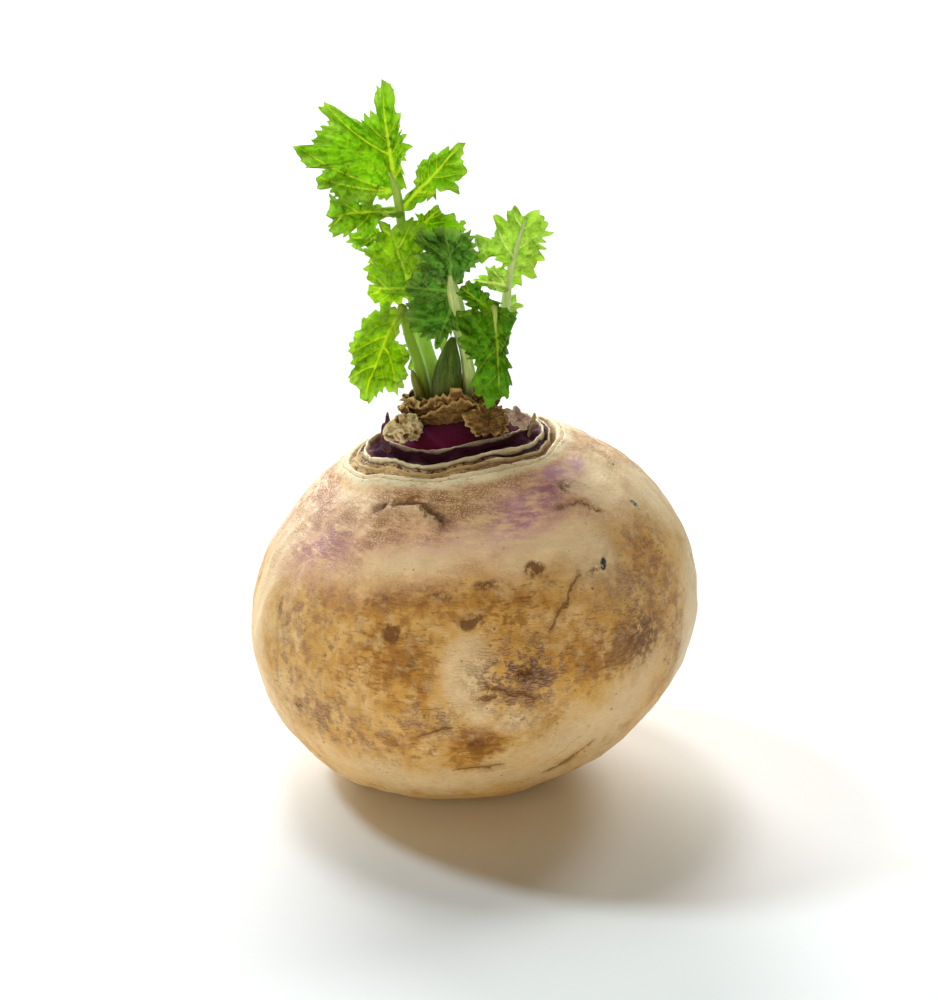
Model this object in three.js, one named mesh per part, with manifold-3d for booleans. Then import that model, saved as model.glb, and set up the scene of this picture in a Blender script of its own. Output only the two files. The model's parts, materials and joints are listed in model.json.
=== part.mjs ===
// A purple-top turnip as pulled and trimmed: a squat root that stands on the scar of its cut tap root,
// a stepped crown of old leaf scars with a papery collar, and a tuft of fresh lobed leaves.
// Millimetres, +Z up. The origin is on the resting spot, under the middle of the root.
import * as THREE from "three";
import { mergeVertices } from "three/addons/utils/BufferGeometryUtils.js";
import Module from "manifold-3d";

const wasm = await Module();
wasm.setup();
const { Manifold, Mesh: SolidMesh } = wasm;
const { degToRad } = THREE.MathUtils;

// ---- Driving dimensions -------------------------------------------------------------------------------

const ROOT = {
  centreHeight: 36.9, // from the surface it rests on to the middle of the widest part
  radius: 46.2, // at the widest part
  depth: 37.5, // from the widest part down to the tap root, along the root's own axis
  rise: 38.6, // from the widest part up to the top
  lowerFullness: 2.25, // exponents of the outline: 2 is an ellipse, more is fuller, less is more conical
  upperFullness: 1.8,
  lean: degToRad(13.2), // the root's own axis, to the left
};
// Swellings and flats: where they are, seen from the middle of the root, how wide and how high.
const SWELLS = [
  { azimuth: 0, elevation: -42, width: 26, height: -0.95 },
  { azimuth: 10, elevation: -70, width: 30, height: 0.6 },
  { azimuth: 180, elevation: -60, width: 30, height: 0.8 },
  { azimuth: 250, elevation: 8, width: 40, height: 0.5 },
  { azimuth: 120, elevation: -15, width: 35, height: -0.7 },
];
const CROWN = { lean: degToRad(6), back: degToRad(3) };
// The crown's steps: distance from its axis and how far the surface stands above the plain root there.
// A short neck in the middle carries the leaves.
// The rims at 14.6, 18.6 and 22 mm are the edges of old leaf scars.
const CROWN_STEPS = [
  [0, 1.2], [5, 1.6], [8.4, 2.2], [9.6, 1.9], [11.2, -0.2], [12.9, -1.5], [14.1, -0.7], [14.7, -0.3],
  [15.5, -0.8], [17.1, -1.5], [18, -0.5], [18.7, -0.2], [19.5, -0.5], [20.4, -0.9], [21.2, -0.1],
  [22.2, 0], [24.5, 0],
];
const ROOT_SIDES = 60;
const BODY_ROW = degToRad(7.5); // between the rings of the plain part of the root
const GAP = 0.3; // between pieces that touch

// The collar's inner radius, outer radius and height above the crown's centre, and how far its lip is torn.
const COLLAR = { foot: [7.6, 8.5, 0.4], waist: [8.5, 9.4, 2.6], lip: [9.3, 10, 5.2], torn: 0.8 };
const COLLAR_SIDES = 40;

// The stub's middle, measured from the crown's centre, its three half-sizes and its roughness.
const STUB = { at: [-9.2, -10.2, 0.9], half: [3.5, 2.6, 3.1], rough: 0.09 };

const TUFT_SHIFT = [0.4, -2, 0]; // from the crown's centre to the foot of the tuft
const BLADE_THICKNESS = 0.7;
const RAY_STEP = 15; // degrees, the most between two rays of a blade
const BLADE_RINGS = 3;
const STALK_SIDES = 8;

// ---- Solids --------------------------------------------------------------------------------------------

/** A closed geometry as a manifold-3d solid. */
function toSolid(geometry) {
  const bare = new THREE.BufferGeometry();
  bare.setAttribute("position", geometry.getAttribute("position"));
  bare.setIndex(geometry.index);
  const merged = mergeVertices(bare, 1e-4);
  return new Manifold(
    new SolidMesh({
      numProp: 3,
      vertProperties: new Float32Array(merged.getAttribute("position").array),
      triVerts: new Uint32Array(merged.index.array),
    }),
  );
}

/** A manifold-3d solid as a geometry with normals. */
function toGeometry(solid) {
  const { vertProperties, triVerts } = solid.getMesh();
  const geometry = new THREE.BufferGeometry();
  geometry.setAttribute("position", new THREE.BufferAttribute(new Float32Array(vertProperties), 3));
  geometry.setIndex(new THREE.BufferAttribute(new Uint32Array(triVerts), 1));
  geometry.computeVertexNormals();
  return geometry;
}

/** A geometry from a list of Vector3 and a flat list of corner numbers. */
function facets(points, corners) {
  const geometry = new THREE.BufferGeometry().setFromPoints(points);
  geometry.setIndex(corners);
  return geometry;
}

const group = new THREE.Group();

/** Adds one named piece to the turnip. */
function addPiece(name, solid, color, roughness) {
  const material = new THREE.MeshStandardMaterial({ color, roughness, metalness: 0 });
  material.name = name;
  const mesh = new THREE.Mesh(toGeometry(solid), material);
  mesh.name = name;
  group.add(mesh);
}

// ---- Root ----------------------------------------------------------------------------------------------

const rootCentre = new THREE.Vector3(0, 0, ROOT.centreHeight);
const rootAxis = new THREE.Vector3(-Math.sin(ROOT.lean), 0, Math.cos(ROOT.lean));
const crownTurn = new THREE.Quaternion().setFromEuler(new THREE.Euler(-CROWN.back, -CROWN.lean, 0));
const crownAxis = new THREE.Vector3(0, 0, 1).applyQuaternion(crownTurn);

/** A unit vector from its azimuth and elevation in degrees. */
function heading({ azimuth, elevation }) {
  const flat = Math.cos(degToRad(elevation));
  const turn = degToRad(azimuth);
  return new THREE.Vector3(flat * Math.cos(turn), flat * Math.sin(turn), Math.sin(degToRad(elevation)));
}

/** The root's radius from its centre along a unit vector, without the crown's steps. */
function rootReach(direction) {
  const up = direction.dot(rootAxis);
  const out = Math.sqrt(Math.max(0, 1 - up * up));
  const [height, fullness] = up < 0 ? [ROOT.depth, ROOT.lowerFullness] : [ROOT.rise, ROOT.upperFullness];
  let reach = ((out / ROOT.radius) ** fullness + (Math.abs(up) / height) ** fullness) ** (-1 / fullness);
  for (const swell of SWELLS) {
    const away = THREE.MathUtils.radToDeg(direction.angleTo(heading(swell)));
    reach += swell.height * Math.exp(-((away / swell.width) ** 2));
  }
  return reach;
}

/** The crown's rise at a distance from its axis. */
function crownRise(distance) {
  const last = CROWN_STEPS.length - 1;
  const next = CROWN_STEPS.findIndex(([radius]) => radius > distance);
  if (next < 0) return CROWN_STEPS[last][1];
  const [[r0, h0], [r1, h1]] = [CROWN_STEPS[next - 1], CROWN_STEPS[next]];
  return THREE.MathUtils.mapLinear(distance, r0, r1, h0, h1);
}

/** The whole root, stood off its true surface by the given distance. */
function rootSolid(standOff = 0) {
  const crownEdge = CROWN_STEPS.at(-1)[0] / ROOT.rise;
  const angles = CROWN_STEPS.map(([radius]) => Math.asin(radius / ROOT.rise));
  const bodyRows = Math.ceil((Math.PI - Math.asin(crownEdge)) / BODY_ROW);
  for (let i = 1; i <= bodyRows; i++) {
    angles.push(THREE.MathUtils.lerp(Math.asin(crownEdge), Math.PI, i / bodyRows));
  }
  const profile = angles.map((a) => new THREE.Vector2(Math.max(0, Math.sin(a)), Math.cos(a)));
  profile[0].x = 0;
  profile.at(-1).x = 0;
  const geometry = new THREE.LatheGeometry(profile.reverse(), ROOT_SIDES).rotateX(Math.PI / 2);
  const position = geometry.getAttribute("position");
  for (let i = 0; i < position.count; i++) {
    const direction = new THREE.Vector3().fromBufferAttribute(position, i).normalize();
    direction.applyQuaternion(crownTurn);
    const reach = rootReach(direction);
    const point = direction.clone().multiplyScalar(reach + standOff).add(rootCentre);
    const towardCrown = direction.dot(crownAxis);
    if (towardCrown > 0) {
      const distance = reach * Math.sqrt(Math.max(0, 1 - towardCrown ** 2));
      point.addScaledVector(crownAxis, crownRise(distance));
    }
    position.setXYZ(i, point.x, point.y, point.z);
  }
  const below = new THREE.BoxGeometry(4 * ROOT.radius, 4 * ROOT.radius, ROOT.radius);
  below.translate(0, 0, -ROOT.radius / 2 - standOff);
  return toSolid(geometry).subtract(toSolid(below));
}

const root = rootSolid();
const rootWithGap = rootSolid(GAP);
addPiece("turnip_root", root, 0xd9b98a, 0.6);

// The crown's centre, where the neck's top meets the crown's axis: the leaves are measured from it.
const crownCentre = crownAxis.clone().multiplyScalar(rootReach(crownAxis)).add(rootCentre);

// ---- Papery collar and old scales -----------------------------------------------------------------------

/** The ragged ring of dry leaf bases, thickened on both sides by the given distance. */
function collarSolid(standOff = 0) {
  const { foot, waist, lip, torn } = COLLAR;
  const outside = [foot, waist, lip].map(([, outer, height]) => [outer + standOff, height]);
  const inside = [lip, waist, foot].map(([inner, , height]) => [inner - standOff, height]);
  const profile = [...outside, ...inside, outside[0]].map(([x, y]) => new THREE.Vector2(x, y));
  const geometry = new THREE.LatheGeometry(profile, COLLAR_SIDES).rotateX(Math.PI / 2);
  const position = geometry.getAttribute("position");
  for (let i = 0; i < position.count; i++) {
    const [x, y, z] = [position.getX(i), position.getY(i), position.getZ(i)];
    const turn = Math.atan2(y, x);
    // lower at the front, with a few lobes and finer teeth
    const tall = 1 + 0.16 * Math.sin(turn + 2.4) - 0.12 * Math.cos(2 * turn) + 0.1 * Math.sin(7 * turn);
    const teeth = z > waist[2] ? torn * Math.sin(11 * turn) * Math.sin(4 * turn + 1) : 0;
    if (z > foot[2]) position.setZ(i, z * tall + teeth);
  }
  geometry.applyQuaternion(crownTurn).translate(...crownCentre);
  return toSolid(geometry);
}

const collarWithGap = collarSolid(GAP);
addPiece("dry_collar", collarSolid().subtract(rootWithGap), 0x7a5a3a, 0.85);

/** The corky stub of an old leaf stalk, on the crown against the collar. */
function stubSolid() {
  const lump = new THREE.SphereGeometry(1, 14, 9);
  const position = lump.getAttribute("position");
  for (let i = 0; i < position.count; i++) {
    const point = new THREE.Vector3().fromBufferAttribute(position, i);
    const bumps = Math.sin(7 * point.x + 3 * point.z) * Math.cos(6 * point.y - 2 * point.z);
    point.multiply(new THREE.Vector3(...STUB.half)).multiplyScalar(1 + STUB.rough * bumps);
    position.setXYZ(i, point.x, point.y, point.z);
  }
  lump.translate(...crownCentre).translate(...STUB.at);
  return toSolid(lump).subtract(rootWithGap).subtract(collarWithGap);
}

addPiece("old_stalk_stub", stubSolid(), 0xd8c79a, 0.9);

// ---- Leaves --------------------------------------------------------------------------------------------

/** A round stalk through points given as [x, y, z, radius], with flat ends. */
function stalkSolid(points) {
  const curve = new THREE.CatmullRomCurve3(
    points.map(([x, y, z]) => new THREE.Vector3(x, y, z)), false, "catmullrom", 0.5,
  );
  const steps = 2 * (points.length - 1);
  const frames = curve.computeFrenetFrames(steps, false);
  const vertices = [];
  const corners = [];
  for (let i = 0; i <= steps; i++) {
    const along = (i / steps) * (points.length - 1);
    const k = Math.min(Math.floor(along), points.length - 2);
    const radius = THREE.MathUtils.lerp(points[k][3], points[k + 1][3], along - k);
    for (let j = 0; j < STALK_SIDES; j++) {
      const turn = (2 * Math.PI * j) / STALK_SIDES;
      vertices.push(
        curve.getPoint(i / steps)
          .addScaledVector(frames.normals[i], radius * Math.cos(turn))
          .addScaledVector(frames.binormals[i], radius * Math.sin(turn)),
      );
    }
  }
  const ring = (i, j) => i * STALK_SIDES + (j % STALK_SIDES);
  for (let i = 0; i < steps; i++) {
    for (let j = 0; j < STALK_SIDES; j++) {
      corners.push(ring(i, j), ring(i, j + 1), ring(i + 1, j));
      corners.push(ring(i, j + 1), ring(i + 1, j + 1), ring(i + 1, j));
    }
  }
  for (let j = 1; j < STALK_SIDES - 1; j++) {
    corners.push(ring(0, 0), ring(0, j + 1), ring(0, j));
    corners.push(ring(steps, 0), ring(steps, j), ring(steps, j + 1));
  }
  return toSolid(facets(vertices, corners));
}

/** The reach of a blade from its heart at an angle, between the tips and bays of its outline. */
function outlineReach(outline, angle) {
  const next = outline.findIndex(([a]) => a > angle);
  const [a1, r1] = next < 0 ? [outline[0][0] + 360, outline[0][1]] : outline[next];
  const [a0, r0] = next === 0 ? [outline.at(-1)[0] - 360, outline.at(-1)[1]] : outline.at(next - 1);
  const share = (angle - a0) / (a1 - a0);
  return r0 + (r1 - r0) * (0.5 - 0.5 * Math.cos(Math.PI * share));
}

/** The angles at which a blade has rays: each tip and bay, and even steps between them. */
function rayAngles(outline) {
  const angles = [];
  outline.forEach(([start], i) => {
    const end = i + 1 < outline.length ? outline[i + 1][0] : outline[0][0] + 360;
    const steps = Math.ceil((end - start) / RAY_STEP);
    for (let k = 0; k < steps; k++) {
      angles.push(((start + ((end - start) * k) / steps + 180) % 360) - 180);
    }
  });
  return angles;
}

/**
 * A leaf blade: a thin sheet on the line from its base to its tip, turned to a face. Its outline is given
 * round the blade's heart, a point at that share of the line, as [angle, reach] with angles from the tip
 * toward the blade's right. The sheet stands off its plane towards the face: arch is the height of its
 * middle, curl is the bend of the left and the right half per millimetre, and wave is the height and the
 * number of the ruffles at its margin.
 */
function bladeSolid({ base, tip, face, heart = 0.5, outline, arch = 0, curl = [0, 0], wave = [0, 0] }) {
  const start = new THREE.Vector3(...base);
  const along = new THREE.Vector3(...tip).sub(start);
  const length = along.length();
  along.normalize();
  const normal = new THREE.Vector3(...face);
  normal.addScaledVector(along, -normal.dot(along)).normalize();
  const side = new THREE.Vector3().crossVectors(along, normal);

  /** The sheet's point at an angle and a share of the reach, lifted towards the face. */
  function sheetPoint(angle, share, lift) {
    const reach = share * outlineReach(outline, angle);
    const across = reach * Math.sin(degToRad(angle));
    const onLine = heart * length + reach * Math.cos(degToRad(angle));
    const bend = 0.5 * curl[across > 0 ? 1 : 0] * across ** 2;
    const bow = arch * (1 - (2 * (onLine / length) - 1) ** 2);
    const ruffle = wave[0] * share ** 2 * Math.sin(degToRad(wave[1] * angle));
    return start.clone()
      .addScaledVector(along, onLine)
      .addScaledVector(side, across)
      .addScaledVector(normal, bow + bend + ruffle + lift);
  }

  const angles = rayAngles(outline);
  const rays = angles.length;
  const vertices = angles.map((angle) => sheetPoint(angle, 1, 0)); // the margin, shared by both faces
  const corners = [];
  for (const upper of [true, false]) {
    const first = vertices.length;
    const lift = ((upper ? 1 : -1) * BLADE_THICKNESS) / 2;
    for (let ring = BLADE_RINGS - 1; ring > 0; ring--) {
      for (const angle of angles) vertices.push(sheetPoint(angle, ring / BLADE_RINGS, lift));
    }
    vertices.push(sheetPoint(0, 0, lift));
    const at = (ring, ray) => (ring === 0 ? 0 : first + (ring - 1) * rays) + (ray % rays);
    const addCorners = (a, b, c) => corners.push(...(upper ? [a, b, c] : [a, c, b]));
    for (let ray = 0; ray < rays; ray++) {
      for (let ring = 0; ring < BLADE_RINGS - 1; ring++) {
        addCorners(at(ring, ray), at(ring + 1, ray + 1), at(ring, ray + 1));
        addCorners(at(ring, ray), at(ring + 1, ray), at(ring + 1, ray + 1));
      }
      addCorners(at(BLADE_RINGS - 1, ray), vertices.length - 1, at(BLADE_RINGS - 1, ray + 1));
    }
  }
  return toSolid(facets(vertices, corners));
}

const tuft = crownCentre.clone().add(new THREE.Vector3(...TUFT_SHIFT));

/** Stalk and blades joined, placed in the tuft and cut clear of the root. */
function leafSolid({ stalk, blades = [] }) {
  const parts = blades.map(bladeSolid);
  if (stalk) parts.push(stalkSolid(stalk));
  const joined = parts.reduce((all, part) => all.add(part));
  return joined.translate(tuft.toArray()).subtract(rootWithGap);
}

// Points are millimetres from the tuft's foot on the crown: x to the right, y to the back, z up.
const LEAVES = {
  // The tallest leaf: a broad end lobe and smaller lobes down its stalk.
  leaf_tall: {
    color: 0x5fae22,
    stalk: [
      [-2.6, 4.2, -3, 1.8], [-3.4, 4, 6, 1.5], [-6, 3.4, 16, 1.3], [-8.2, 3.2, 26, 1.2],
      [-9.7, 3, 36, 1], [-11, 3, 45.7, 1.1], [-12.6, 2.6, 50, 0.6],
    ],
    blades: [
      {
        base: [-11, 3, 45.7],
        tip: [-13.9, 5, 67.5],
        face: [0.3, -1, 0.15],
        heart: 0.35,
        outline: [
          [-158, 9.5], [-140, 11.5], [-117, 14.5], [-99, 16], [-94, 14.5], [-88, 18.5], [-78, 19.5],
          [-72, 16], [-57, 15], [-46, 17], [-39, 9.5], [-28, 8], [-13, 9.5], [0, 14.5], [19, 8], [36, 5],
          [53, 4], [94, 4.5], [131, 3], [173, 7.5],
        ],
        arch: -1.2,
        curl: [0.02, -0.12],
        wave: [0.6, 5],
      },
      {
        base: [-8.8, 3, 43.8],
        tip: [1.9, 5, 55.4],
        face: [0.45, -1, 0.25],
        heart: 0.45,
        outline: [
          [-179, 9.4], [-160, 4], [-113, 3.5], [-87, 4], [-34, 4.5], [-12, 6], [0, 9], [11, 7], [36, 6.5],
          [60, 5], [76, 6], [100, 3.5], [146, 4.5],
        ],
        arch: 0.8,
        curl: [0.06, 0.06],
        wave: [0.4, 4],
      },
      {
        base: [-10.2, 2.2, 42.3],
        tip: [-24.5, -3, 42],
        face: [0.1, -0.85, 0.55],
        outline: [
          [-172, 8], [-150, 3.4], [-110, 4], [-88, 5], [-55, 4.6], [-27, 7.5], [-15, 8], [-6, 6.4],
          [9, 7.5], [32, 7.5], [64, 3], [130, 3],
        ],
        arch: 0.8,
        curl: [-0.08, -0.1],
        wave: [0.9, 4],
      },
      {
        base: [-9.4, 2.4, 36],
        tip: [-20.5, 3.6, 36.4],
        face: [0, -0.75, 0.65],
        outline: [[-176, 7], [-130, 4.4], [-97, 3.6], [-51, 3], [-7, 6], [40, 2.4], [119, 2], [150, 4]],
        arch: 1,
        curl: [-0.08, -0.08],
        wave: [0.4, 3],
      },
      {
        base: [-8.8, 2.8, 36.4],
        tip: [-1.8, 0.5, 44],
        face: [0.3, -1, 0.3],
        outline: [
          [-176, 6.4], [-110, 2], [-30, 2.4], [-4, 5], [16, 3.8], [38, 6], [59, 8], [88, 6], [140, 4.4],
        ],
        curl: [0, -0.06],
        wave: [0.4, 5],
      },
    ],
  },
  // A ruffled young leaf in the middle of the tuft, with one side lobe.
  leaf_centre: {
    color: 0x74b82c,
    stalk: [
      [0.6, 1.8, -3, 1.2], [0.1, 1.4, 9, 1], [-3, 0.3, 18, 0.9], [-6.2, -2, 25, 0.9], [-9, -3.8, 30, 0.7],
    ],
    blades: [
      {
        base: [-7.5, -3, 26.5],
        tip: [-12, -4, 41],
        face: [-0.35, -1, 0.35],
        outline: [
          [-165, 7.5], [-138, 7.5], [-108, 7.5], [-87, 8.5], [-77, 6.4], [-68, 10.5], [-57, 7.4],
          [-28, 6.5], [-18, 8.5], [6, 7.5], [28, 8.5], [51, 7.5], [89, 5.5], [156, 6.5],
        ],
        arch: 1.4,
        curl: [-0.09, -0.1],
        wave: [0.8, 6],
      },
      {
        base: [-8, -3.4, 28],
        tip: [-16.5, -5, 28.4],
        face: [-0.2, -1, -0.1],
        outline: [[-134, 4.5], [-80, 4], [-22, 4.5], [10, 3.5], [36, 6], [69, 5], [109, 4], [167, 4.5]],
        curl: [-0.1, -0.06],
        wave: [0.4, 4],
      },
    ],
  },
  // A dark, puckered leaf on a pale stalk, in front of the others, with two side lobes.
  leaf_dark: {
    color: 0x2f6e35,
    stalk: [
      [2.9, -1.6, -3, 1.4], [3.4, -2, 6.6, 1.4], [2.4, -2.8, 15, 1.1], [1, -3.6, 20, 1.2],
      [1.2, -4.7, 22.5, 1.5], [0.2, -5.7, 27.6, 1.7], [-0.5, -6.2, 31.5, 1.1],
    ],
    blades: [
      {
        base: [-0.6, -6, 30.2],
        tip: [-1.5, -6.8, 40.5],
        face: [0.3, -1, 0.5],
        outline: [
          [-170, 6], [-131, 6.5], [-89, 6], [-45, 7.5], [-10, 5.5], [41, 6], [79, 6], [100, 6.5],
          [129, 6.5], [155, 6],
        ],
        arch: 1.4,
        curl: [-0.08, -0.08],
        wave: [0.5, 5],
      },
      {
        base: [0.4, -5.2, 26.5],
        tip: [-3.2, -6.6, 17.5],
        face: [-0.2, -1, -0.1],
        outline: [
          [-165, 4], [-110, 2.6], [-48, 2.6], [-7, 4.5], [36, 5.5], [72, 7.5], [90, 8], [111, 7],
          [147, 6], [176, 6],
        ],
        arch: 1,
        curl: [-0.06, 0],
      },
      {
        base: [-0.2, -5.4, 28],
        tip: [-9, -6.6, 29],
        face: [0, -1, 0.1],
        outline: [[-175, 4.5], [-100, 2], [-27, 4], [4, 4.6], [40, 5], [75, 5], [114, 5], [162, 4.5]],
        curl: [0.1, 0.1],
      },
    ],
  },
  // A narrow leaf that hangs down on the left.
  leaf_left: {
    color: 0x86bf28,
    stalk: [
      [-5.2, 0.6, -3, 1.3], [-6.1, 0, 8, 1.1], [-8.6, -2.6, 18, 1], [-9.8, -4.8, 24.4, 0.9],
      [-10.4, -6, 23, 0.8], [-11.4, -6.8, 20, 0.5],
    ],
    blades: [
      {
        base: [-9.8, -5.6, 25],
        tip: [-17.6, -8, 6],
        face: [-0.45, -1, 0.3],
        heart: 0.45,
        outline: [
          [-175, 8], [-139, 4], [-90, 6], [-47, 9], [-28, 8], [-11, 9.5], [-1, 11.5], [12, 9], [28, 10],
          [41, 7], [60, 7.5], [102, 7], [136, 8], [153, 9.6],
        ],
        arch: 1.5,
        curl: [-0.05, -0.05],
        wave: [0.5, 4],
      },
    ],
  },
  // A small upright leaf behind the tuft.
  leaf_back: {
    color: 0x8cc830,
    stalk: [[-5.2, 5.2, -3, 0.9], [-6.2, 6.6, 4, 0.8], [-6.8, 7.6, 11, 0.6]],
    blades: [
      {
        base: [-6.5, 7.2, 6],
        tip: [-8.5, 7.4, 20.5],
        face: [-0.3, -1, 0.1],
        outline: [
          [-168, 5.5], [-148, 3], [-60, 1.6], [-21, 5.4], [-10, 7.5], [4, 6.5], [17, 3], [33, 4],
          [80, 3.4], [128, 4.5], [158, 5.5],
        ],
        curl: [0.08, 0.08],
      },
    ],
  },
  // A leaf that arches over the front and hangs down, with one small lobe where it turns.
  leaf_front: {
    color: 0x3f8f25,
    stalk: [
      [5.6, -0.2, -3, 1], [6.1, -1.6, 8, 1], [6.7, -4, 18, 0.9], [7.6, -6.4, 24, 0.8],
      [8.1, -9, 25.4, 0.7], [8.3, -10, 21, 0.5],
    ],
    blades: [
      {
        base: [8.1, -9.2, 25.2],
        tip: [9, -11.2, 5.9],
        face: [0.25, -1, 0.1],
        heart: 0.4,
        outline: [
          [-166, 8.5], [-149, 8], [-134, 3.8], [-95, 2.6], [-55, 2.4], [-32, 4.6], [-17, 7.6], [-7, 10],
          [2, 9.4], [9, 11.5], [22, 10], [36, 8.5], [56, 4.6], [100, 7], [116, 8], [136, 10], [150, 10],
          [165, 8],
        ],
        arch: 0.8,
        curl: [-0.06, -0.08],
        wave: [0.3, 4],
      },
      {
        base: [7.6, -6.8, 24.4],
        tip: [2.4, -8.8, 29],
        face: [-0.1, -1, 0.5],
        outline: [[-134, 2.4], [-44, 3], [-4, 5], [15, 5.4], [37, 4], [69, 2.5], [129, 2.6], [166, 4.5]],
        curl: [0.1, 0.1],
        wave: [0.4, 3],
      },
    ],
  },
  // The leaf on the right: its end lobe is folded along the midrib, with two small lobes below.
  leaf_right: {
    color: 0x4f9a2a,
    stalk: [
      [4.2, 4.6, -3, 1.5], [5.2, 3.6, 6, 1.3], [7.3, 2.6, 15, 1.1], [10.2, 2, 22.6, 1],
      [10.8, 2, 27.5, 0.9], [12.4, 1.8, 35, 0.8], [14.2, 1.4, 41, 0.5],
    ],
    blades: [
      {
        base: [10.8, 2.4, 27],
        tip: [14.5, 1.6, 43],
        face: [0.35, -1, 0.05],
        outline: [
          [-165, 4.5], [-122, 5], [-113, 8.5], [-83, 10], [-68, 7.6], [-55, 8], [-33, 8], [-20, 8.5],
          [-6, 7], [7, 8.5], [26, 8], [41, 7], [73, 5], [122, 4.5], [151, 7], [172, 8.8],
        ],
        curl: [0.05, 0.14],
        wave: [0.5, 4],
      },
      {
        base: [10.8, 2, 27],
        tip: [4.3, 0, 28.8],
        face: [-0.1, -1, 0.4],
        outline: [
          [-157, 3], [-110, 1.2], [-40, 1.6], [-21, 3], [4, 3.5], [30, 2], [68, 3.5], [110, 3.4],
          [176, 4.2],
        ],
        arch: 0.6,
      },
      {
        base: [10.2, 2.4, 22.5],
        tip: [13.3, 4.8, 23.5],
        face: [0.3, -1, 0.2],
        outline: [[-157, 2], [-104, 1.6], [-61, 2], [0, 1.6], [62, 2], [98, 2], [170, 2.2]],
      },
    ],
  },
  // A folded bud in the heart of the tuft.
  leaf_bud: {
    color: 0x2c5a1c,
    stalk: [
      [-1.3, -2.4, -3, 2.4], [-1.4, -2.6, 3, 2.8], [-1.2, -3.4, 9, 2.8], [-0.8, -4.2, 13, 2.3],
      [-0.4, -4.6, 16.5, 1.3], [0, -4.7, 18.5, 0.5],
    ],
  },
  // The tip of a bud at the left of the collar.
  bud_tip: {
    color: 0xb5b548,
    stalk: [[-6.1, -1.9, -3, 0.9], [-6.7, -1.7, 5, 0.9], [-7.7, -1.8, 9, 0.7], [-8.2, -1.8, 11, 0.25]],
  },
};

for (const [name, leaf] of Object.entries(LEAVES)) {
  addPiece(name, leafSolid(leaf), leaf.color, 0.55);
}

// ---- Old scales: dry remains of leaf bases round the crown ----------------------------------------------

const SCALES = {
  dry_scale_right: {
    color: 0x6b4526,
    base: [11.2, -5.6, 2.4],
    tip: [2.2, -8.8, 3],
    face: [0.4, -0.8, 0.5],
    outline: [[-150, 5], [-90, 3.6], [-30, 5], [0, 5.2], [40, 3.4], [90, 2.2], [150, 4.2]],
    arch: 0.8,
    wave: [0.3, 5],
  },
  dry_scale_pale: {
    color: 0xcfc3bd,
    base: [15, -3.4, -0.4],
    tip: [10.4, -5, 3.4],
    face: [0.4, -0.8, 0.4],
    outline: [[-150, 2.6], [-90, 1.8], [-30, 2.4], [0, 3.6], [40, 2.2], [90, 1.6], [150, 2.6]],
    arch: 0.5,
  },
  scale_tip_left: {
    color: 0x4a3f63,
    base: [-13.4, -6, -5],
    tip: [-13.6, -5.2, 3.4],
    face: [-0.8, -0.6, 0],
    heart: 0.4,
    outline: [[-165, 3.4], [-90, 1.5], [-20, 2.8], [0, 5], [25, 2.2], [90, 1.4], [165, 3.4]],
  },
  scale_tip_right: {
    color: 0xb9ad86,
    base: [15.4, -1, -4.5],
    tip: [15.7, -0.8, 1.8],
    face: [1, -0.4, 0],
    heart: 0.4,
    outline: [[-165, 2.6], [-90, 0.8], [-20, 1.8], [0, 3.8], [25, 1.6], [90, 0.8], [165, 2.6]],
  },
};

for (const [name, { color, ...blade }] of Object.entries(SCALES)) {
  addPiece(name, leafSolid({ blades: [blade] }).subtract(collarWithGap), color, 0.85);
}

export default group;
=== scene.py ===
"""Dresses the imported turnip: the stained root with its scarred crown, the papery collar and the fresh leaves.

Lengths in the classes are millimetres in the part's own frame: origin on the resting spot, +Z up, +Y to the
back. They become metres when a mesh is made.
"""
import json
import logging
import math
from collections.abc import Sequence
from dataclasses import dataclass, field
from enum import Enum
from functools import partial, reduce

import bpy
import numpy as np
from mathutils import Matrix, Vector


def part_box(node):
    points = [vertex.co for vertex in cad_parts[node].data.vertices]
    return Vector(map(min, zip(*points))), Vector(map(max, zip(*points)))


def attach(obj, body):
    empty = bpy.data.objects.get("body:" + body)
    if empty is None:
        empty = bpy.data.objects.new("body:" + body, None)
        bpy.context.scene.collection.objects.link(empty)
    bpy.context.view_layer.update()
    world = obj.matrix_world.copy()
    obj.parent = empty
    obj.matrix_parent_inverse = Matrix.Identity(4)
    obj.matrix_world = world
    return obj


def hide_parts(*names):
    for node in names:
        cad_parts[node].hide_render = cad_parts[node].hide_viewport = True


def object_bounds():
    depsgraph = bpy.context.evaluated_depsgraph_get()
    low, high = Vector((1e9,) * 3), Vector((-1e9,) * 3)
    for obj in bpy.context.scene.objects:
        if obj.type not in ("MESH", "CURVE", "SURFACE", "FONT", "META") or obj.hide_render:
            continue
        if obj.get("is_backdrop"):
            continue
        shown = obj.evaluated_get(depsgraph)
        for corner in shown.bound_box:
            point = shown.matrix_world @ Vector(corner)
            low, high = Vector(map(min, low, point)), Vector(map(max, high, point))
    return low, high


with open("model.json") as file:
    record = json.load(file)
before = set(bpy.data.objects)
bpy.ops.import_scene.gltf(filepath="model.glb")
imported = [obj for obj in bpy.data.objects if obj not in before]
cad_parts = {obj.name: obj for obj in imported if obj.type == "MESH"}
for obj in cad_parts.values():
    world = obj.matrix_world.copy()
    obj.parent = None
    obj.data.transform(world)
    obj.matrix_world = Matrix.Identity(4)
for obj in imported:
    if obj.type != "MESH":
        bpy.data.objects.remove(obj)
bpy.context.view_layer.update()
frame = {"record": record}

BODY = "root"
MM = 0.001
Point = tuple[float, float, float]
Colour = tuple[float, float, float]
Pair = tuple[float, float]
Pairs = tuple[Pair, ...]
Span = tuple[float, float]
Stops = Sequence[tuple[float, Colour]]
Socket = bpy.types.NodeSocket
Node = bpy.types.Node
Tree = bpy.types.NodeTree
Material = bpy.types.Material
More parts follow.
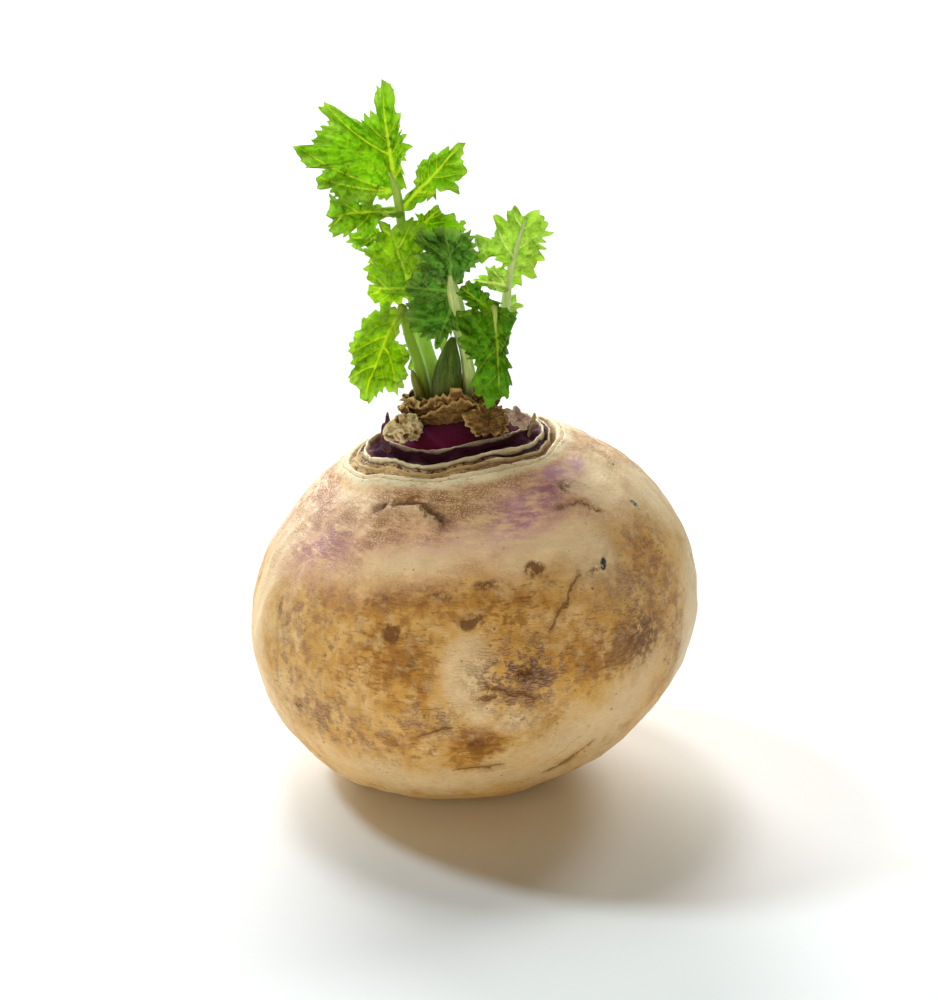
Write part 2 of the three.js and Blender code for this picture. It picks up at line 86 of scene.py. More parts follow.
Piece = bpy.types.Object
Coat = tuple[object, object]

# A Mix node has sockets for every kind of value; these are the share and the two colours, and the result.
MIX_COLOUR_INPUTS = (0, 6, 7)
MIX_COLOUR_OUTPUT = 2

# How far the last ring of a closed shape stays from its pole, in radians.
POLE_GAP = 0.02

# Seeds of the first leaf and of the first scale; the others follow.
LEAF_SEED = 1
SCALE_SEED = 70

log = logging.getLogger("turnip")


# ---- Shapes ----


class Ripple:
    """Smooth seeded relief in space: a sum of plane waves of about one length."""

    def __init__(self, seed: int, length: float, waves: int = 20) -> None:
        """Draws the waves.

        Args:
            seed: Seed of the draw, so that every run gives the same relief.
            length: Wave length in millimetres.
            waves: Number of waves.
        """
        draw = np.random.default_rng(seed)
        ways = draw.normal(size=(waves, 3))
        ways /= np.linalg.norm(ways, axis=1, keepdims=True)
        self.wave = ways * (2 * math.pi / length) * draw.uniform(0.6, 1.5, (waves, 1))
        self.phase = draw.uniform(0, 2 * math.pi, waves)

    def __call__(self, points: np.ndarray) -> np.ndarray:
        """Gives the relief at some points.

        Args:
            points: Array of shape (..., 3).

        Returns:
            Values of about -2 to 2, of shape (...).
        """
        total = np.zeros(points.shape[:-1])
        for wave, phase in zip(self.wave, self.phase):
            total += np.cos(points @ wave + phase)
        return total * math.sqrt(2 / len(self.phase))


def unit(vector: np.ndarray) -> np.ndarray:
    """Scales vectors along the last axis to length 1."""
    return vector / np.linalg.norm(vector, axis=-1, keepdims=True)


def fade(value: np.ndarray, low: float, high: float) -> np.ndarray:
    """Rises smoothly from 0 at low to 1 at high, or falls if low is above high."""
    share = np.clip((value - low) / (high - low), 0, 1)
    return share * share * (3 - 2 * share)


def heading(azimuth: float, elevation: float) -> np.ndarray:
    """Gives the unit vector at an azimuth and an elevation in degrees."""
    turn, rise = math.radians(azimuth), math.radians(elevation)
    return np.array([math.cos(rise) * math.cos(turn), math.cos(rise) * math.sin(turn), math.sin(rise)])


def ball(polar: np.ndarray, turn: np.ndarray) -> np.ndarray:
    """Gives the unit vectors at angles from +Z and round it, in radians."""
    return np.stack([np.sin(polar) * np.cos(turn), np.sin(polar) * np.sin(turn), np.cos(polar)], -1)


@dataclass
class Surface:
    """A mesh in the making: points, faces and one value per point for each named attribute."""

    points: list[np.ndarray] = field(default_factory=list)
    faces: list[np.ndarray] = field(default_factory=list)
    values: dict[str, list[np.ndarray]] = field(default_factory=dict)
    count: int = 0

    def add(self, points: np.ndarray, faces: list[np.ndarray], **values: np.ndarray) -> None:
        """Adds a patch.

        Args:
            points: Array of shape (n, 3), in millimetres.
            faces: Arrays of corner numbers, one array for the quads and one for the triangles.
            **values: For each attribute, n numbers or n vectors.
        """
        self.points.append(points)
        self.faces += [block + self.count for block in faces if len(block)]
        for name, numbers in values.items():
            self.values.setdefault(name, []).append(np.broadcast_to(numbers, self.shape_for(numbers, points)))
        self.count += len(points)

    @staticmethod
    def shape_for(numbers: np.ndarray, points: np.ndarray) -> tuple[int, ...]:
        """Gives the shape that an attribute's numbers are spread to."""
        return (len(points), 3) if np.ndim(numbers) == 2 else (len(points),)

    def to_object(self, name: str, material: Material) -> Piece:
        """Makes the Blender object, smooth-shaded, that rides on the body.

        Args:
            name: Name of the new object.
            material: Its one material.

        Returns:
            The object, linked to the scene.
        """
        mesh = bpy.data.meshes.new(name)
        points = np.concatenate(self.points) * MM
        mesh.vertices.add(len(points))
        mesh.vertices.foreach_set("co", points.ravel())
        corners = np.concatenate([block.ravel() for block in self.faces])
        sizes = np.concatenate([np.full(len(block), block.shape[1]) for block in self.faces])
        mesh.loops.add(len(corners))
        mesh.loops.foreach_set("vertex_index", corners)
        mesh.polygons.add(len(sizes))
        mesh.polygons.foreach_set("loop_start", np.concatenate([[0], np.cumsum(sizes)[:-1]]))
        mesh.polygons.foreach_set("use_smooth", np.ones(len(sizes), bool))
        for attribute, parts in self.values.items():
            numbers = np.concatenate(parts)
            kind, key = ("FLOAT_VECTOR", "vector") if numbers.ndim == 2 else ("FLOAT", "value")
            mesh.attributes.new(attribute, kind, "POINT").data.foreach_set(key, numbers.ravel())
        mesh.update(calc_edges=True)
        mesh.validate()
        mesh.materials.append(material)
        piece = bpy.data.objects.new(name, mesh)
        bpy.context.scene.collection.objects.link(piece)
        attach(piece, BODY)
        return piece


def grid_faces(rows: int, columns: int, first: int = 0, flip: bool = False) -> np.ndarray:
    """Gives the quads of a grid whose columns close into a ring.

    Args:
        rows: Number of rings of points.
        columns: Number of points in a ring.
        first: Number of the first point.
        flip: Whether the faces look the other way.

    Returns:
        Corner numbers, shape (quads, 4).
    """
    row, column = np.meshgrid(np.arange(rows - 1), np.arange(columns), indexing="ij")
    here, beside = row * columns + column, row * columns + (column + 1) % columns
    quads = np.stack([here, beside, beside + columns, here + columns], -1).reshape(-1, 4) + first
    return quads[:, ::-1] if flip else quads


def fan_faces(ring: np.ndarray, middle: int, flip: bool = False) -> np.ndarray:
    """Gives the triangles between a closed ring of points and a middle point."""
    around = np.stack([ring, np.roll(ring, -1), np.full(len(ring), middle)], -1)
    return around[:, ::-1] if flip else around


def band_faces(ring: np.ndarray, beside: np.ndarray) -> np.ndarray:
    """Gives the quads between two closed rings of points."""
    return np.stack([ring, np.roll(ring, -1), np.roll(beside, -1), beside], -1)


def capped_faces(rows: int, columns: int) -> list[np.ndarray]:
    """Gives the faces of a grid of closed rings with two end points, which come after the rings.

    Args:
        rows: Number of rings.
        columns: Number of points in a ring.

    Returns:
        The quads of the grid and the triangles at its ends.
    """
    ring, count = np.arange(columns), rows * columns
    first, last = fan_faces(ring, count), fan_faces(ring + count - columns, count + 1, flip=True)
    return [grid_faces(rows, columns, flip=True), np.concatenate([first, last])]


# ---- Materials ----


class Graph:
    """A node tree with short calls that add a node and give back its output."""

    def __init__(self, tree: Tree) -> None:
        """Takes the tree that nodes are added to."""
        self.tree = tree

    def node(self, kind: str, **settings: object) -> Node:
        """Adds a node.

        Args:
            kind: Blender's name of the node.
            **settings: Its properties.

        Returns:
            The node.
        """
        made = self.tree.nodes.new(kind)
        for name, value in settings.items():
            setattr(made, name, value)
        return made

    def feed(self, target: Socket, value: object) -> None:
        """Links a socket to an input, or sets the input.

        Args:
            target: The input.
            value: A socket, number, vector or colour.
        """
        if isinstance(value, Socket):
            self.tree.links.new(value, target)
        else:
            target.default_value = (*value, 1.0) if target.type == "RGBA" and len(value) == 3 else value

    def fill(self, made: Node, *values: object, **inputs: object) -> Node:
        """Feeds a node's inputs.

        Args:
            made: The node.
            *values: Values of its first inputs, in order.
            **inputs: Values of inputs by name, with _ for a space.

        Returns:
            The node.
        """
        for target, value in zip(made.inputs, values):
            self.feed(target, value)
        for name, value in inputs.items():
            self.feed(made.inputs[name.replace("_", " ")], value)
        return made

    def math(self, operation: str, *values: object) -> Socket:
        """Adds a Math node."""
        return self.fill(self.node("ShaderNodeMath", operation=operation), *values).outputs[0]

    def vectors(self, operation: str, *values: object, result: str = "Vector", **inputs: object) -> Socket:
        """Adds a Vector Math node and gives one of its results."""
        made = self.node("ShaderNodeVectorMath", operation=operation)
        return self.fill(made, *values, **inputs).outputs[result]

    def times(self, *factors: object) -> Socket:
        """Multiplies numbers."""
        return reduce(partial(self.math, "MULTIPLY"), factors)

    def most(self, *values: object) -> Socket:
        """Gives the greatest of some numbers."""
        return reduce(partial(self.math, "MAXIMUM"), values)

    def scaled(self, value: object, factor: object, offset: object) -> Socket:
        """Gives a number times a factor, with an offset added."""
        return self.math("MULTIPLY_ADD", value, factor, offset)

    def span(self, value: object, low: float, high: float, to_low: float = 0, to_high: float = 1) -> Socket:
        """Adds a smooth clamped Map Range.

        Args:
            value: The number to map.
            low: Number that gives to_low.
            high: Number that gives to_high.
            to_low: Result at and beyond low.
            to_high: Result at and beyond high.

        Returns:
            The result.
        """
        made = self.node("ShaderNodeMapRange", interpolation_type="SMOOTHSTEP")
        ends = {"From_Min": low, "From_Max": high, "To_Min": to_low, "To_Max": to_high}
        return self.fill(made, Value=value, **ends).outputs["Result"]

    def band(self, value: object, rise: Span, fall: Span) -> Socket:
        """Rises from 0 to 1 over one span of a number and falls back to 0 over another."""
        return self.times(self.span(value, *rise), self.span(value, *fall))

    def blend(self, share: object, a: object, b: object) -> Socket:
        """Adds a Mix node for colours.

        Args:
            share: How much of b there is.
            a: The colour below.
            b: The colour laid over it.

        Returns:
            The mixed colour.
        """
        made = self.node("ShaderNodeMix", data_type="RGBA")
        for number, value in zip(MIX_COLOUR_INPUTS, (share, a, b)):
            self.feed(made.inputs[number], value)
        return made.outputs[MIX_COLOUR_OUTPUT]

    def coats(self, colour: object, *coats: Coat) -> Socket:
        """Lays coats over a colour.

        Args:
            colour: The colour below.
            *coats: The share and the colour of each coat, from the lowest up.

        Returns:
            The colour on top.
        """
        for share, tone in coats:
            colour = self.blend(share, colour, tone)
        return colour

    def millimetres(self) -> Socket:
        """Gives the object coordinates in millimetres."""
        place = self.node("ShaderNodeTexCoord").outputs["Object"]
        return self.vectors("SCALE", place, Scale=1 / MM)

    def stretched(self, place: Socket, factors: Point) -> Socket:
        """Multiplies coordinates by three factors."""
        return self.vectors("MULTIPLY", place, factors)

    def noise(self, place: Socket, size: float | Socket, detail: float = 4, rough: float = 0.55) -> Socket:
        """Adds a Noise texture.

        Args:
            place: Coordinates.
            size: About how far across its features are.
            detail: Number of finer layers.
            rough: How strong they are.

        Returns:
            Its value.
        """
        scale = self.math("DIVIDE", 1.0, size) if isinstance(size, Socket) else 1 / size
        made = self.node("ShaderNodeTexNoise")
        return self.fill(made, Vector=place, Scale=scale, Detail=detail, Roughness=rough).outputs["Fac"]

    def read(self, name: str, output: str = "Fac") -> Socket:
        """Reads a value stored on the mesh."""
        return self.node("ShaderNodeAttribute", attribute_name=name).outputs[output]

    def axis(self, vector: Socket, letter: str) -> Socket:
        """Gives one coordinate of a vector."""
        return self.fill(self.node("ShaderNodeSeparateXYZ"), vector).outputs[letter]

    def ramp(self, value: object, stops: Stops) -> Socket:
        """Adds a colour ramp.

        Args:
            value: The number that picks the colour.
            stops: Positions from 0 to 1 with their colours.

        Returns:
            The colour.
        """
        made = self.fill(self.node("ShaderNodeValToRGB"), value)
        elements = made.color_ramp.elements
        while len(elements) < len(stops):
            elements.new(1.0)
        for element, (position, colour) in zip(elements, stops):
            element.position = position
            element.color = (*colour, 1.0)
        return made.outputs["Color"]

    def bump(self, height: Socket, distance: float) -> Socket:
        """Adds a Bump node for a height of 0 to 1 that stands for a distance in millimetres."""
        made = self.node("ShaderNodeBump")
        return self.fill(made, Strength=1.0, Distance=distance * MM, Height=height).outputs["Normal"]

    def mask(self, shared: Tree, **inputs: object) -> Socket:
        """Places a shared node group and gives the mask that it puts out."""
        return self.fill(self.node("ShaderNodeGroup", node_tree=shared), **inputs).outputs["Mask"]


class Effects:
    """The shader node groups that several materials share, each built once."""

    def __init__(self) -> None:
        """Builds every group."""
        self.mottle = self.build_mottle()
        self.netting = self.build_netting()
        self.fibres = self.build_fibres()

    @staticmethod
    def start(name: str, **inputs: float | None) -> tuple[Graph, bpy.types.NodeOutputs, Socket]:
        """Makes a group that puts out a mask.

        Args:
            name: Name of the group.
            **inputs: Default of each number input; None makes a vector input.

        Returns:
            The graph, the outputs that hold the group's inputs, and the input that takes the mask.
        """
        tree = bpy.data.node_groups.new(name, "ShaderNodeTree")
        for label, default in inputs.items():
            kind = "NodeSocketVector" if default is None else "NodeSocketFloat"
            made = tree.interface.new_socket(name=label, in_out="INPUT", socket_type=kind)
            if default is not None:
                made.default_value = default
        tree.interface.new_socket(name="Mask", in_out="OUTPUT", socket_type="NodeSocketFloat")
        graph = Graph(tree)
        source = graph.node("NodeGroupInput").outputs
        return graph, source, graph.node("NodeGroupOutput").inputs["Mask"]

    @staticmethod
    def crisp(graph: Graph, value: Socket, edge: Socket) -> Socket:
        """Sharpens a noise about its middle to a mask whose edge is as wide as asked."""
        return graph.span(graph.math("DIVIDE", graph.math("SUBTRACT", value, 0.5), edge), -1, 1)

    def build_mottle(self) -> Tree:
        """Builds blotches with crisp uneven edges that grow where Bias rises.

        Returns:
            The group.
        """
        graph, source, target = self.start("Mottle", Place=None, Size=4.0, Bias=0.0, Edge=0.1)
        coarse = graph.noise(source["Place"], source["Size"], 6, 0.62)
        graph.feed(target, self.crisp(graph, graph.math("ADD", coarse, source["Bias"]), source["Edge"]))
        return graph.tree

    def build_netting(self) -> Tree:
        """Builds the corky net of fine cracks in an old skin.

        Returns:
            The group.
        """
        graph, source, target = self.start("Netting", Place=None, Size=1.0, Width=0.12)
        drift, drift_scale = (1.6, 1.6, 1.6), 0.7
        noise = graph.fill(graph.node("ShaderNodeTexNoise"), Vector=source["Place"], Scale=drift_scale)
        warped = graph.vectors("MULTIPLY_ADD", noise.outputs["Color"], drift, source["Place"])
        cells = graph.node("ShaderNodeTexVoronoi", feature="DISTANCE_TO_EDGE")
        graph.fill(cells, Vector=warped, Scale=graph.math("DIVIDE", 1.0, source["Size"]))
        graph.feed(target, graph.span(graph.math("DIVIDE", cells.outputs["Distance"], source["Width"]), 1, 0))
        return graph.tree

    def build_fibres(self) -> Tree:
        """Builds fine streaks along the coordinate that Place gives the smallest factor.

        Returns:
            The group.
        """
        graph, source, target = self.start("Fibres", Place=None, Size=0.5, Sharp=0.2)
        coarse = graph.noise(source["Place"], source["Size"], 3, 0.6)
        graph.feed(target, self.crisp(graph, coarse, source["Sharp"]))
        return graph.tree


def new_material(name: str) -> tuple[Graph, Node, Node]:
    """Makes a material with a Principled shader and its output.

    Args:
        name: Name of the material.

    Returns:
        The graph, the Principled shader and the Material Output.
    """
    material = bpy.data.materials.new(name)
    material.use_nodes = True
    graph = Graph(material.node_tree)
    nodes = material.node_tree.nodes
    return graph, nodes["Principled BSDF"], nodes["Material Output"]


# ---- Root ----


class Skin(Enum):
    """What a mark on the root's skin is. The value names its attribute on the mesh."""

    FLUSH = "flush"
    STAIN = "stain"
    # Pale clear patches, some of them painted light along the edges and on the right shoulder.
    PALE = "pale"
    ROUGH = "rough"
    DARK = "dark"
    CHIP = "chip"


@dataclass(frozen=True)
class Mark:
    """A patch on the skin: its heading from the root's middle, half-sizes in mm, turn and strength."""

    azimuth: float
    elevation: float
    half: Pair
    turn: float = 0
    strength: float = 1


@dataclass(frozen=True)
class Crack:
    """A crack or crease along headings, its half width in mm and how far its upper side stands proud."""

    path: Pairs
    width: float
    lip: float = 0


@dataclass(frozen=True)
class Swell:
    """A swelling or flat of the root: where it is, how wide in degrees and how high."""

    azimuth: float
    elevation: float
    width: float
    height: float


MARKS = {
    Skin.FLUSH: (
        Mark(-143, 28, (12, 6.5), 20, 0.75), Mark(-158, 38, (9, 5), 0, 0.5),
        Mark(-68, 45, (13, 6.5), 25, 0.9), Mark(-52, 53, (9, 4.6), 30), Mark(-28, 55, (6, 2.6), 30, 0.9),
        Mark(-98, 38, (18, 4.5), 8, 0.6), Mark(60, 44, (14, 5)), Mark(120, 40, (12, 6), 0, 0.8),
    ),
    Skin.STAIN: (
        Mark(-131, 16, (12, 5), 5, 0.7), Mark(-109, 21, (9, 4.5), 10, 0.9), Mark(-84, 21, (9, 5), -5, 0.8),
        Mark(-108, 6, (10, 7), -10), Mark(-88, -14, (4.2, 5), 0, 1.9), Mark(-51, 4, (7, 4.5), 15, 1.3),
        Mark(-61, 6, (8, 4), 5, 0.9), Mark(-72, 28, (3, 2.6), 0, 0.8), Mark(-46, 36, (6, 3), 0, 0.6),
        Mark(-108, -15, (6, 3), 0, 0.7), Mark(-33, 26, (9, 12), 10, 0.8), Mark(-28, 4, (8, 12), 0, 0.7),
        Mark(-51, 8, (5, 3), 20, 1.2), Mark(30, 8, (12, 9)), Mark(95, 14, (13, 7), 20),
        Mark(150, 4, (12, 8), 0, 1.1), Mark(75, -18, (10, 7), 0, 0.9),
    ),
    # Pale clear patches. Marks at -164 and -16 on the left and right edges are painted rim light, and (-8, 36)
    # and (-30, 47) are painted light on the right shoulder.
    Skin.PALE: (
        Mark(-92, 4, (3.0, 5.0), -12, 2.2), Mark(-88, -6, (2.6, 3.2)), Mark(-80, -9, (3.4, 2)),
        Mark(-54, 32, (6, 6), 30, 1.3), Mark(-68, 34, (10, 3.6), 15, 1.4),
        Mark(-106, 31, (10, 3.0), 14, 1.3), Mark(-87, 36, (8, 3.0), 8, 1.4), Mark(-164, 6, (6, 22), 0, 0.8),
        Mark(-8, 36, (8, 9), 30, 1.1), Mark(-30, 47, (10, 7), 25, 1.3), Mark(-146, 46, (7, 4), -10, 0.8),
        Mark(-16, -4, (7, 16), 0, 0.7), Mark(-57, -14, (16, 4.5), 28, 0.9),
        Mark(-100, -31, (20, 4), 0, 0.7), Mark(120, 26, (12, 5)), Mark(45, -5, (8, 7), 0, 0.8),
    ),
    Skin.ROUGH: (
        Mark(-79, 2, (8, 6), 0, 1.6), Mark(-78, -7, (4, 3.4), 0, 0.8), Mark(-127, -14, (11, 5), -20, 0.9),
        Mark(-100, -9, (7, 3.4), 0, 0.8), Mark(-140, 4, (8, 9), 0, 0.6), Mark(-46, 18, (9, 8), 0, 0.7),
        Mark(60, 5, (9, 7), 0, 0.8), Mark(170, -12, (9, 7), 0, 0.8),
    ),
    Skin.DARK: (
        Mark(-78, 4, (1.2, 1.0), 0, 1.2), Mark(-77, 3, (4.6, 3.4), 0, 0.42),
        Mark(-48, 49, (1.8, 1.3), 40, 0.7), Mark(-72, 28, (1.7, 1.4), 0, 1.2),
        Mark(-68, 24, (1.2, 1.0), 0, 0.5), Mark(-90, 16, (2.4, 1.2), 20, 1.1),
        Mark(-110, 12, (1.8, 1.7), 0, 1.1), Mark(-116, 19, (3, 1.2), 20, 0.6),
        Mark(-98, 22, (4, 1.1), -15, 0.6), Mark(-86, 25, (3, 1.0), 10, 0.7),
        Mark(-104, 6, (2.4, 1.3), 30, 0.5), Mark(-89, -15, (2.0, 1.2), 0, 0.7), Mark(-138, -13, (0.9, 1.0)),
        Mark(-101, -7, (0.9, 0.6)), Mark(-150, 8, (1.2, 2.0), 20, 0.6), Mark(-146, -8, (0.6, 1.4), 0, 0.6),
        Mark(-103, -4, (1.4, 1.0), 0, 0.5), Mark(-33, 27, (0.7, 2.6), 20, 0.6),
        Mark(-55, 25, (2.2, 0.9), 20, 0.6), Mark(-43, 6, (6, 5), 15, 0.7), Mark(-59, 3, (7, 3.4), 10, 0.35),
        Mark(-28, -2, (6, 9), 0, 0.3), Mark(40, 20, (1.6, 1.1), 30, 0.8), Mark(100, 2, (2.0, 1.4), 0, 0.8),
        Mark(165, 20, (1.4, 1.4), 0, 0.7),
    ),
    Skin.CHIP: (
        Mark(-51, 26, (0.8, 1.8), -35), Mark(-24, 36, (0.9, 1.4), 20), Mark(-9, 47, (0.6, 1.3), 40, 0.8),
        Mark(-13, 36, (0.4, 1.3), 20, 0.8),
    ),
}

WART = (-78, 4)

CRACKS = (
    Crack(((-131, 40), (-128, 43), (-123, 46), (-117, 47), (-111, 47), (-105, 44), (-101, 42), (-99, 39)),
          0.36, 0.65),
    Crack(((-124, 46), (-119, 48), (-112, 50)), 0.22),
    Crack(((-59, 43), (-55, 44), (-51, 44), (-47, 44), (-44, 41), (-40, 38)), 0.22, -0.35),
    Crack(((-58, 26), (-61, 24), (-64, 20), (-67, 17), (-69, 14), (-71, 12)), 0.2),
    Crack(((-89, -2), (-85, -2), (-81, -1), (-77, -2), (-74, -3)), 0.18),
    Crack(((-87, 1), (-83, 0), (-81, -1)), 0.16),
    Crack(((-95, -25), (-90, -24), (-86, -24), (-81, -23)), 0.2),
    Crack(((-69, -32), (-64, -29), (-59, -24), (-55, -20)), 0.24),
    Crack(((-103, -13), (-98, -11), (-93, -10)), 0.14),
    Crack(((20, 34), (32, 38), (44, 36)), 0.2),
    Crack(((120, -12), (132, -10), (141, -14)), 0.2),
    Crack(((78, 30), (84, 24), (86, 17)), 0.18),
)


@dataclass
class RootForm:
    """The root's true surface: a leaning rounded body with swellings, and the crown's axis.

    Leans are in degrees: the body's and the crown's to the left, and the crown's to the back.
    """

    centre_height: float = 36.9
    radius: float = 46.2
    depth: float = 37.5
    rise: float = 38.6
    lower_fullness: float = 2.25
    upper_fullness: float = 1.8
    lean: float = 13.2
    crown_lean: float = 6
    crown_back: float = 3
    swells: tuple[Swell, ...] = (
        Swell(0, -42, 26, -0.95),
        Swell(10, -70, 30, 0.6),
        Swell(180, -60, 30, 0.8),
        Swell(250, 8, 40, 0.5),
        Swell(120, -15, 35, -0.7),
    )

    def __post_init__(self) -> None:
        """Works out the two axes."""
        lean, crown, back = (math.radians(a) for a in (self.lean, self.crown_lean, self.crown_back))
        self.axis = np.array([-math.sin(lean), 0, math.cos(lean)])
        self.centre = np.array([0, 0, self.centre_height])
        about_x = np.array(
            [[1, 0, 0], [0, math.cos(back), math.sin(back)], [0, -math.sin(back), math.cos(back)]]
        )
        about_y = np.array(
            [[math.cos(crown), 0, -math.sin(crown)], [0, 1, 0], [math.sin(crown), 0, math.cos(crown)]]
        )
        self.turn = about_x @ about_y
        self.crown_axis = self.turn @ np.array([0, 0, 1])

    def reach(self, directions: np.ndarray) -> np.ndarray:
        """Gives the root's radius along unit vectors, without the crown's steps.

        Args:
            directions: Array of shape (..., 3).

        Returns:
            Radii in millimetres, of shape (...).
        """
        up = directions @ self.axis
        out = np.sqrt(np.maximum(0, 1 - up * up))
        height = np.where(up < 0, self.depth, self.rise)
        fullness = np.where(up < 0, self.lower_fullness, self.upper_fullness)
        reach = ((out / self.radius) ** fullness + (np.abs(up) / height) ** fullness) ** (-1 / fullness)
        for swell in self.swells:
            near = np.clip(directions @ heading(swell.azimuth, swell.elevation), -1, 1)
            reach = reach + swell.height * np.exp(-((np.degrees(np.arccos(near)) / swell.width) ** 2))
        return reach

    def at(self, azimuth: float, elevation: float) -> np.ndarray:
        """Gives the surface point at a heading from the root's middle."""
        direction = heading(azimuth, elevation)
        return self.centre + direction * self.reach(direction)

    @property
    def crown_centre(self) -> np.ndarray:
        """The point where the crown's axis leaves the plain root."""
        return self.centre + self.crown_axis * self.reach(self.crown_axis)


@dataclass(frozen=True)
class Wash:
    """One wash of the ochre stain: its spots' size, how far it spreads, its edge, cover and colour."""

    size: float
    spread: float
    edge: float
    cover: float
    tone: Colour
    streaked: bool = False


@dataclass(frozen=True)
class SkinFinish:
    """The skin's colours, and where its zones begin and end.

    Heights are measured from the resting spot along the root's leaning axis, and distances from the crown's
    axis, both in millimetres. Sides are the spans in which a band begins and ends, across the crown for the
    valley and the straw, and across a crack for the painted shadow in its gap and the painted highlight on
    its lip.
    """

    flesh: Stops = (
        (0.32, (0.62, 0.38, 0.13)), (0.45, (0.75, 0.52, 0.23)), (0.58, (0.85, 0.62, 0.32)),
        (0.75, (0.94, 0.75, 0.47)),
    )
    underside: Colour = (0.82, 0.64, 0.36)
    dark_grain: Colour = (0.44, 0.22, 0.07)
    light_grain: Colour = (0.93, 0.80, 0.56)
    washes: tuple[Wash, ...] = (
        Wash(10.0, 0.08, 0.26, 0.9, (0.80, 0.44, 0.07)),
        Wash(5.0, -0.03, 0.17, 0.75, (0.50, 0.22, 0.03)),
        Wash(2.2, -0.07, 0.09, 0.65, (0.34, 0.13, 0.018)),
        Wash(1.0, -0.1, 0.05, 0.55, (0.21, 0.075, 0.012), streaked=True),
    )
    worn: Colour = (0.86, 0.66, 0.34)
    # Colour of the pale clear patches, which are painted light on the edges and the right shoulder.
    clear: Colour = (0.95, 0.74, 0.45)
    freckle: Colour = (0.24, 0.095, 0.02)
    rough: Colour = (0.50, 0.30, 0.19)
    rough_net: Colour = (0.20, 0.085, 0.04)
    blush: Colour = (0.92, 0.60, 0.37)
    cork: Colour = (0.78, 0.46, 0.23)
    cork_net: Colour = (0.32, 0.13, 0.045)
    mauve: Colour = (0.80, 0.44, 0.42)
    purple: Colour = (0.46, 0.16, 0.32)
    dark: Colour = (0.17, 0.065, 0.012)
    chip: Colour = (0.04, 0.035, 0.02)
    chip_fleck: Colour = (0.36, 0.36, 0.27)
    crack: Colour = (0.19, 0.07, 0.016)
    crack_side: Colour = (0.44, 0.20, 0.06)
    # Painted shadow in the gap under a crack's lifted side, and painted highlight on its lip.
    crack_gap_shadow: Colour = (0.09, 0.03, 0.008)
    crack_lip_and_highlight: Colour = (0.86, 0.62, 0.38)
    crown: Stops = (
        (8.0, (0.04, 0.004, 0.012)), (10.0, (0.08, 0.004, 0.03)), (12.2, (0.15, 0.004, 0.06)),
        (13.9, (0.28, 0.012, 0.12)), (14.2, (0.62, 0.36, 0.24)), (14.3, (0.98, 0.88, 0.62)),
        (14.618, (0.98, 0.88, 0.62)), (14.632, (0.045, 0.005, 0.025)), (16.8, (0.06, 0.007, 0.04)),
        (17.75, (0.24, 0.09, 0.09)), (18.0, (0.90, 0.74, 0.46)), (18.37, (0.96, 0.84, 0.56)),
        (18.4, (0.04, 0.012, 0.02)), (19.35, (0.10, 0.035, 0.045)), (19.6, (0.85, 0.68, 0.40)),
        (19.85, (0.80, 0.62, 0.34)), (20.0, (0.16, 0.07, 0.04)), (20.9, (0.34, 0.20, 0.10)),
        (21.3, (0.96, 0.82, 0.56)), (22.2, (0.86, 0.68, 0.42)), (22.35, (0.50, 0.30, 0.14)),
        (22.5, (0.96, 0.83, 0.57)), (24.4, (0.84, 0.65, 0.40)),
    )
    crown_valley: Colour = (0.06, 0.004, 0.012)
    crown_straw: Colour = (0.66, 0.46, 0.22)
    crown_light: Colour = (0.80, 0.62, 0.36)
    crown_dark: Colour = (0.16, 0.06, 0.03)
    underside_heights: Span = (32, 16)
    stain_top: Span = (68, 64.5)
    stain_foot: Span = (6, 26)
    blush_heights: Span = (56, 64)
    cork_distances: Span = (46, 32)
    crown_distances: Span = (25.2, 23.2)
    crown_reach: float = 28.0
    crown_dull: Span = (27, 24)
    crown_right: Span = (-95, -55)
    valley_sides: tuple[Span, Span] = ((8.5, 10), (13.9, 13.5))
    straw_sides: tuple[Span, Span] = ((18.4, 18.7), (21.3, 21.0))
    grained_rims: Span = (18.4, 19.5)
    # Spans of the painted shadow in a crack's gap and of the painted highlight on its lip.
    gap_shadow_sides: tuple[Span, Span] = ((-1.7, -0.5), (0.15, 0.0))
    lip_highlight_sides: tuple[Span, Span] = ((0.2, 0.7), (2.6, 0.9))


